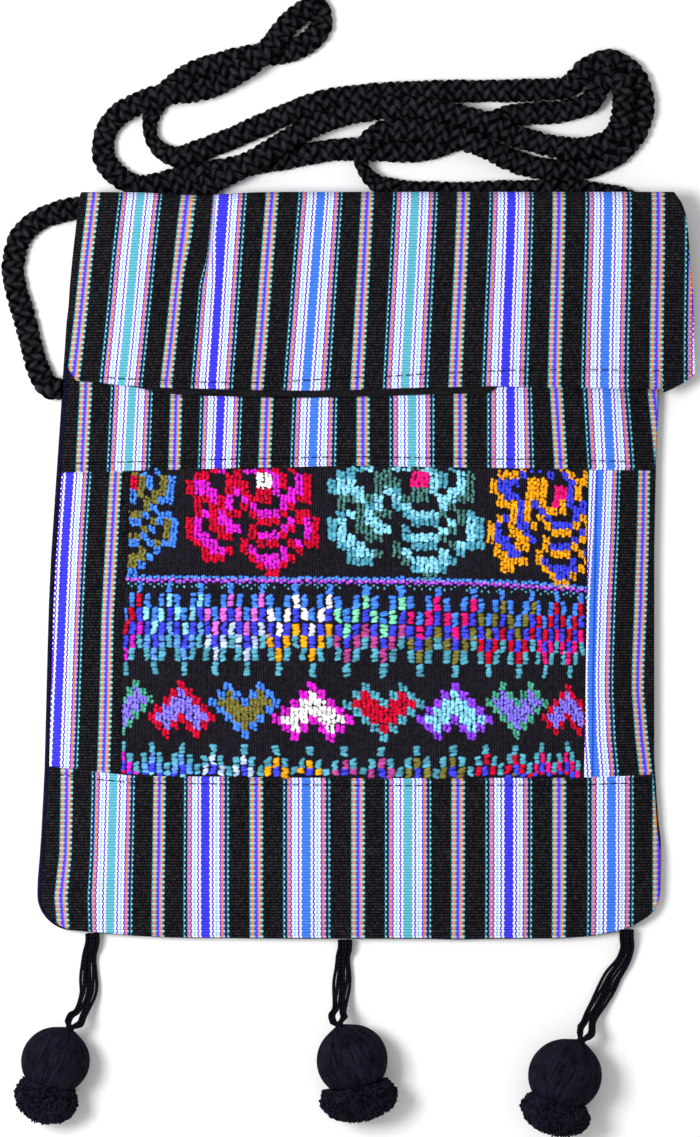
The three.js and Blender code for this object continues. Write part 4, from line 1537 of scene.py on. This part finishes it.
# Strands out of line sideways and upwards: half waves on the way, turn from strand to strand, and reach
STRAND_SWAY = (3, 1.9, 0.0003)
STRAND_RAISE = (2.2, 2.4, 0.0005)
STRAND_NECK = 0.0022
STRAIGHT_OUT = 0.003
YARN_WIDTH = 0.0012
YARN_SIDES = 6
YARN_RINGS = 46
YARN_CLEAR = 0.0002
TIE_TURNS = 2.3  # the strands are tied by this many turns of yarn above the pompom
TIE_RINGS = 40
TIE_RADIUS = 0.0011
TIE_LENGTH = 0.0016
GROUND_FLAT = 0.00025  # the ball is pressed flat by this much where it lies
# Tassels: middle and radius of the ball, turn of its pole in degrees, angle of its crease round the pole,
# radius, length and turn of the skirt, place of the strands in the bottom seam, and the points that they pass
TASSELS = {
    "left": {
        "middle": (-0.1127, -0.1787),
        "radius": 0.0122,
        "pole": -24,
        "crease": 1.3,
        "skirt": (0.0113, 0.013, -14),
        "seam": -0.0998,
        "strands": [
            (-0.1011, -0.1419, 0.0027),
            (-0.1014, -0.1490, 0.0029),
            (-0.1013, -0.1546, 0.0038),
            (-0.1027, -0.1592, 0.0062),
            (-0.1044, -0.1626, 0.0090),
        ],
    },
    "middle": {
        "middle": (-0.0059, -0.1784),
        "radius": 0.0128,
        "pole": 20,
        "crease": 0.9,
        "skirt": (0.0138, 0.012, 10),
        "seam": -0.0085,
        "strands": [
            (-0.0092, -0.1419, 0.0027),
            (-0.0094, -0.1480, 0.0029),
            (-0.0098, -0.1540, 0.0036),
            (-0.0103, -0.1592, 0.0068),
        ],
    },
    "right": {
        "middle": (0.0707, -0.1838),
        "radius": 0.0131,
        "pole": -25,
        "crease": 1.1,
        "skirt": (0.0125, 0.0116, -15),
        "seam": 0.0934,
        "strands": [
            (0.0937, -0.1388, 0.0029),
            (0.0921, -0.1438, 0.0027),
            (0.0886, -0.1489, 0.0027),
            (0.0861, -0.1539, 0.0028),
            (0.0833, -0.1588, 0.0034),
            (0.0802, -0.1636, 0.0060),
            (0.0786, -0.1675, 0.0096),
        ],
    },
}


def turned_down(points, tassel, degrees):
    """Points about the ball's middle, with Y from the skirt to the pole, put in place on the table."""
    x, y, z = points.T
    ball_x, ball_y = tassel["middle"]
    turn = math.radians(degrees)
    placed_x = x * math.cos(turn) - y * math.sin(turn) + ball_x
    placed_y = x * math.sin(turn) + y * math.cos(turn) + ball_y
    return stacked(placed_x, placed_y, np.maximum(z + tassel["radius"] - GROUND_FLAT, TABLE_CLEAR))


def strand_route(tassel):
    """The strands leave the seam straight out and end at the ball's pole."""
    seam = tassel["seam"]
    seam_middle = SEAM_HEIGHT + CLOTH + SEAM_GAP / 2
    start = pouch_bottom(seam) - SEAM_GAP
    leave = [(seam, start, seam_middle), (seam, start - STRAIGHT_OUT, seam_middle - SEAM_GAP)]
    pole = np.array([(0, tassel["radius"] + gap, 0) for gap in (STRAND_NECK, SEAM_GAP)])
    return [*leave, *tassel["strands"], *turned_down(pole, tassel, tassel["pole"])]


def yarn_finish():
    """Twisted cotton yarn, blue-black."""
    material, shader, shade = new_finish("tassel_yarn", 0.8)
    run = shade.run()
    ply = shade.math("SINE", run.part(0) * (4 * math.pi) + run.part(1) * 4200) * 0.5 + 0.5
    fuzz = shade.noise(shade.place(), 1700.0)
    colour_finish(shade, shader, (ply * 0.5 + fuzz * 0.5).mix(dye(3, 3, 6), dye(24, 24, 34)))
    bump_finish(shade, shader, ply + fuzz * 0.5, 0.0003)
    return material


def yarn_runs(places):
    """Turn round a yarn and place along it, at each point of its rings."""
    turned, along = np.meshgrid(np.abs(np.arange(YARN_SIDES) / YARN_SIDES - 0.5), places)
    return np.stack([turned, along], axis=-1).reshape(-1, 2)


def bundle_piece(name, path, places, material):
    """Strands side by side along a path, which part on their way, meet at its end and are tied there."""
    across, up = level_frames(path)
    share = places / places[-1]
    parted = sum(wide * np.exp(-(((share - at) / reach) ** 2)) for at, reach, wide in STRANDS_PART)
    close = 1 - STRANDS_MEET * ease(share, *STRANDS_CLOSE)
    points, faces, runs = [], [], []
    for strand in range(BUNDLE_STRANDS):
        rank = strand / (BUNDLE_STRANDS - 1) * 2 - 1
        half = -1 if strand < BUNDLE_STRANDS / 2 else 1
        waves, turn, reach = STRAND_SWAY
        sway = reach * np.sin(waves * np.pi * share + turn * strand) * np.sin(np.pi * share)
        apart = rank * BUNDLE_REACH * (1 + BUNDLE_SWELL * np.sin(np.pi * share))
        aside = (apart + half * parted + sway) * close
        waves, turn, reach = STRAND_RAISE
        raised = reach * np.cos(waves * np.pi * share + turn * strand) * close
        middle = path + aside[:, None] * across + raised[:, None] * up
        faces += tube_faces(len(path), YARN_SIDES, strand * len(path) * YARN_SIDES)
        points.append(round_rings(middle, across, up, YARN_WIDTH / 2, YARN_SIDES))
        runs.append(yarn_runs(places))
    winding = np.linspace(0, TIE_TURNS * 2 * np.pi, TIE_RINGS)[:, None]
    onwards = np.cross(up[-1], across[-1])
    outward = np.cos(winding) * across[-1] + np.sin(winding) * up[-1]
    tie = path[-1] + TIE_RADIUS * outward + (winding / winding[-1] - 1) * TIE_LENGTH * onwards
    faces += tube_faces(TIE_RINGS, YARN_SIDES, BUNDLE_STRANDS * len(path) * YARN_SIDES)
    points.append(round_rings(tie, outward, onwards, YARN_WIDTH / 2, YARN_SIDES))
    runs.append(yarn_runs(TIE_RADIUS * winding[:, 0]))
    all_points = np.vstack(points)
    all_points[:, 2] = np.maximum(all_points[:, 2], YARN_CLEAR)
    piece = new_piece(name, all_points, faces, material)
    set_weave(piece, np.vstack(runs))
    return piece


# Pompoms: a ball wound from pole to pole with fine blue-black thread, and a neck tied below it.
# Under the neck the thread ends are cut to a dense pile that spreads out as a skirt.
BALL_ROUND = 264
BALL_DOWN = 48
BALL_THREADS = 66
BALL_RIDGE = 0.00009
BALL_TOP = 0.02  # the ball's threads start at this angle from its pole
NECK_ARC = 2.55  # and end at this one
POLE_DRAWN = 0.06  # at the pole the ball is drawn out by this share of its radius
POLE_REACH = 0.22
BALL_CREASE = 0.09  # depth of the crease beside the pole, as a share of the radius
BALL_CREASE_WIDTH = 0.06
BALL_CREASE_REACH = 0.95
BALL_SLACK = 0.012
NECK_DROP = 0.72  # share of the radius from the ball's middle to the neck
TUFTS = 1900
TUFT_SIDES = 4
TUFT_WIDTH = 0.00046  # half width of a tuft
TUFT_FULL = (0.75, 1.2)  # least and most share of that width
TUFT_REACH = (0.93, 1.03)  # least and most share of the skirt's outer form that a tuft reaches
TUFT_TURN = 2.39996  # each tuft stands on round the neck by this angle, so that they spread evenly
TUFT_SHARES = np.array([0.0, 0.6, 1.0])  # rings of a tuft, from its root to its tip
TUFT_WIDTHS = np.array([0.8, 1.0, 0.85])
TUFT_ROOT = 0.3  # share of the tip's distance from the axis where a tuft leaves the neck
TUFT_BELLY = 0.12  # a tuft bows outwards by this share of that distance
TUFT_ARCH = 0.0004
PILE_RISE = -0.6  # the highest tufts point up by this angle, and the lowest straight down
PILE_START = 0.1  # below the neck, in shares of the skirt's length
PILE_MIDDLE = 0.38
PILE_TALL = 0.70
PILE_LUMPS = [(5, 3, 0.035), (9, -7, 0.03)]  # waves round the skirt, their slant and their height
# Streaks of colour: how fast they change round a tuft, along it and from tuft to tuft
STREAK_ROUND = 0.2
STREAK_ALONG = 0.3
STREAK_APART = 0.731


def wound_ball(tassel):
    """Ball of thread: fine ridges run from its pole to its neck, drawn out and creased at the pole."""
    down = np.linspace(BALL_TOP, NECK_ARC, BALL_DOWN)[:, None]
    turned = np.linspace(0, 2 * np.pi, BALL_ROUND, endpoint=False)[None, :]
    ridge = BALL_RIDGE * np.sin(BALL_THREADS * turned + 1.3 * np.sin(2 * down)) * np.sin(down)
    drawn = POLE_DRAWN * np.exp(-((down / POLE_REACH) ** 2))
    away = np.angle(np.exp(1j * (turned - tassel["crease"]))) * np.sin(down)
    crease = BALL_CREASE * np.exp(-((away / BALL_CREASE_WIDTH) ** 2) - (down / BALL_CREASE_REACH) ** 2)
    slack = BALL_SLACK * np.sin(3 * turned + 2 * down) * np.sin(down)
    reach = tassel["radius"] * (1 + drawn - crease + slack) + ridge
    out = reach * np.sin(down)
    points = stacked(out * np.cos(turned), reach * np.cos(down), out * np.sin(turned)).reshape(-1, 3)
    runs = stacked(*np.broadcast_arrays(np.cos(turned), np.sin(turned), 1 + 0.05 * down))
    faces = tube_faces(BALL_DOWN, BALL_ROUND, 0)
    return turned_down(points, tassel, tassel["pole"]), faces, runs.reshape(-1, 3)


def pile_skirt(tassel, start):
    """Cut thread ends: short tufts that leave the neck and end on the skirt's round outer form."""
    skirt_radius, skirt_length, skirt_turn = tassel["skirt"]
    neck_y = -NECK_DROP * tassel["radius"]
    middle_y = neck_y - PILE_MIDDLE * skirt_length
    tall = PILE_TALL * skirt_length
    shares = TUFT_SHARES[:, None]
    around = 2 * np.pi * np.arange(TUFT_SIDES) / TUFT_SIDES
    turned, run = np.broadcast_arrays(STREAK_ROUND * np.cos(around), STREAK_ALONG * shares)
    points, faces, runs = [], [], []
    for tuft in range(TUFTS):
        sink = math.sin(PILE_RISE) + (1 - math.sin(PILE_RISE)) * (tuft + 0.5) / TUFTS
        angle = tuft * TUFT_TURN
        lump = 1 + sum(high * math.sin(waves * angle + slant * sink) for waves, slant, high in PILE_LUMPS)
        reach = lump * chance.uniform(*TUFT_REACH)
        out = skirt_radius * math.sqrt(1 - sink**2) * reach
        tip = np.array([out * math.cos(angle), middle_y - tall * sink * reach, out * math.sin(angle)])
        root = np.array([TUFT_ROOT * tip[0], neck_y - PILE_START * skirt_length, TUFT_ROOT * tip[2]])
        belly = (root + tip) / 2 + np.array([TUFT_BELLY * tip[0], TUFT_ARCH, TUFT_BELLY * tip[2]])
        middle = (1 - shares) ** 2 * root + 2 * shares * (1 - shares) * belly + shares**2 * tip
        lean = (tip - root) / np.linalg.norm(tip - root)
        side = np.array([-math.sin(angle), 0.0, math.cos(angle)])
        wide = TUFT_WIDTH * TUFT_WIDTHS * chance.uniform(*TUFT_FULL)
        faces += tube_faces(len(shares), TUFT_SIDES, start + tuft * len(shares) * TUFT_SIDES)
        points.append(round_rings(middle, side, np.cross(lean, side), wide, TUFT_SIDES))
        runs.append(stacked(turned + STREAK_APART * tuft, run, 0 * run).reshape(-1, 3))
    return turned_down(np.vstack(points), tassel, skirt_turn), faces, np.vstack(runs)


def pompom_finish():
    """Fine blue-black thread: light and dark streaks along the threads, and a soft bloom on the pile."""
    material, shader, shade = new_finish("pompom_thread", 0.8, 0.04)
    run = shade.run()
    place = shade.place()
    streak = shade.noise(run, 34.0, 3.0)
    fuzz = shade.noise(place, 620.0)
    cloudy = shade.noise(place, 160.0)
    ball = run.part(2) > 0.5
    wound = (streak * 0.8 + fuzz * 0.25 + cloudy * 0.3 - 0.52) * 2.2
    cut = (streak * 0.6 + fuzz * 0.8 + cloudy * 0.3 - 0.68) * 3.0
    lightness = wound * ball + cut * (1 - ball)
    colour_finish(shade, shader, lightness.mix(dye(1, 1, 4), dye(40, 40, 57)))
    bump_finish(shade, shader, streak + fuzz * 0.6, 0.00025)
    return material


strand_material = yarn_finish()
pompom_material = pompom_finish()
for side_name, tassel in TASSELS.items():
    ball_points, ball_faces, ball_runs = wound_ball(tassel)
    pile_points, pile_faces, pile_runs = pile_skirt(tassel, len(ball_points))
    pompom_points = np.vstack([ball_points, pile_points])
    pompom = new_piece(f"wound_pompom_{side_name}", pompom_points, ball_faces + pile_faces, pompom_material)
    set_weave(pompom, np.vstack([ball_runs, pile_runs]))
    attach(pompom, "root")
    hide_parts(f"pompom_{side_name}")
    bundle_curve = through_points(strand_route(tassel))
    bundle_path, bundle_places = evenly(bundle_curve, YARN_RINGS)
    bundle = bundle_piece(f"tassel_strands_{side_name}", bundle_path, bundle_places, strand_material)
    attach(bundle, "root")
    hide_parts(f"tassel_cord_{side_name}")
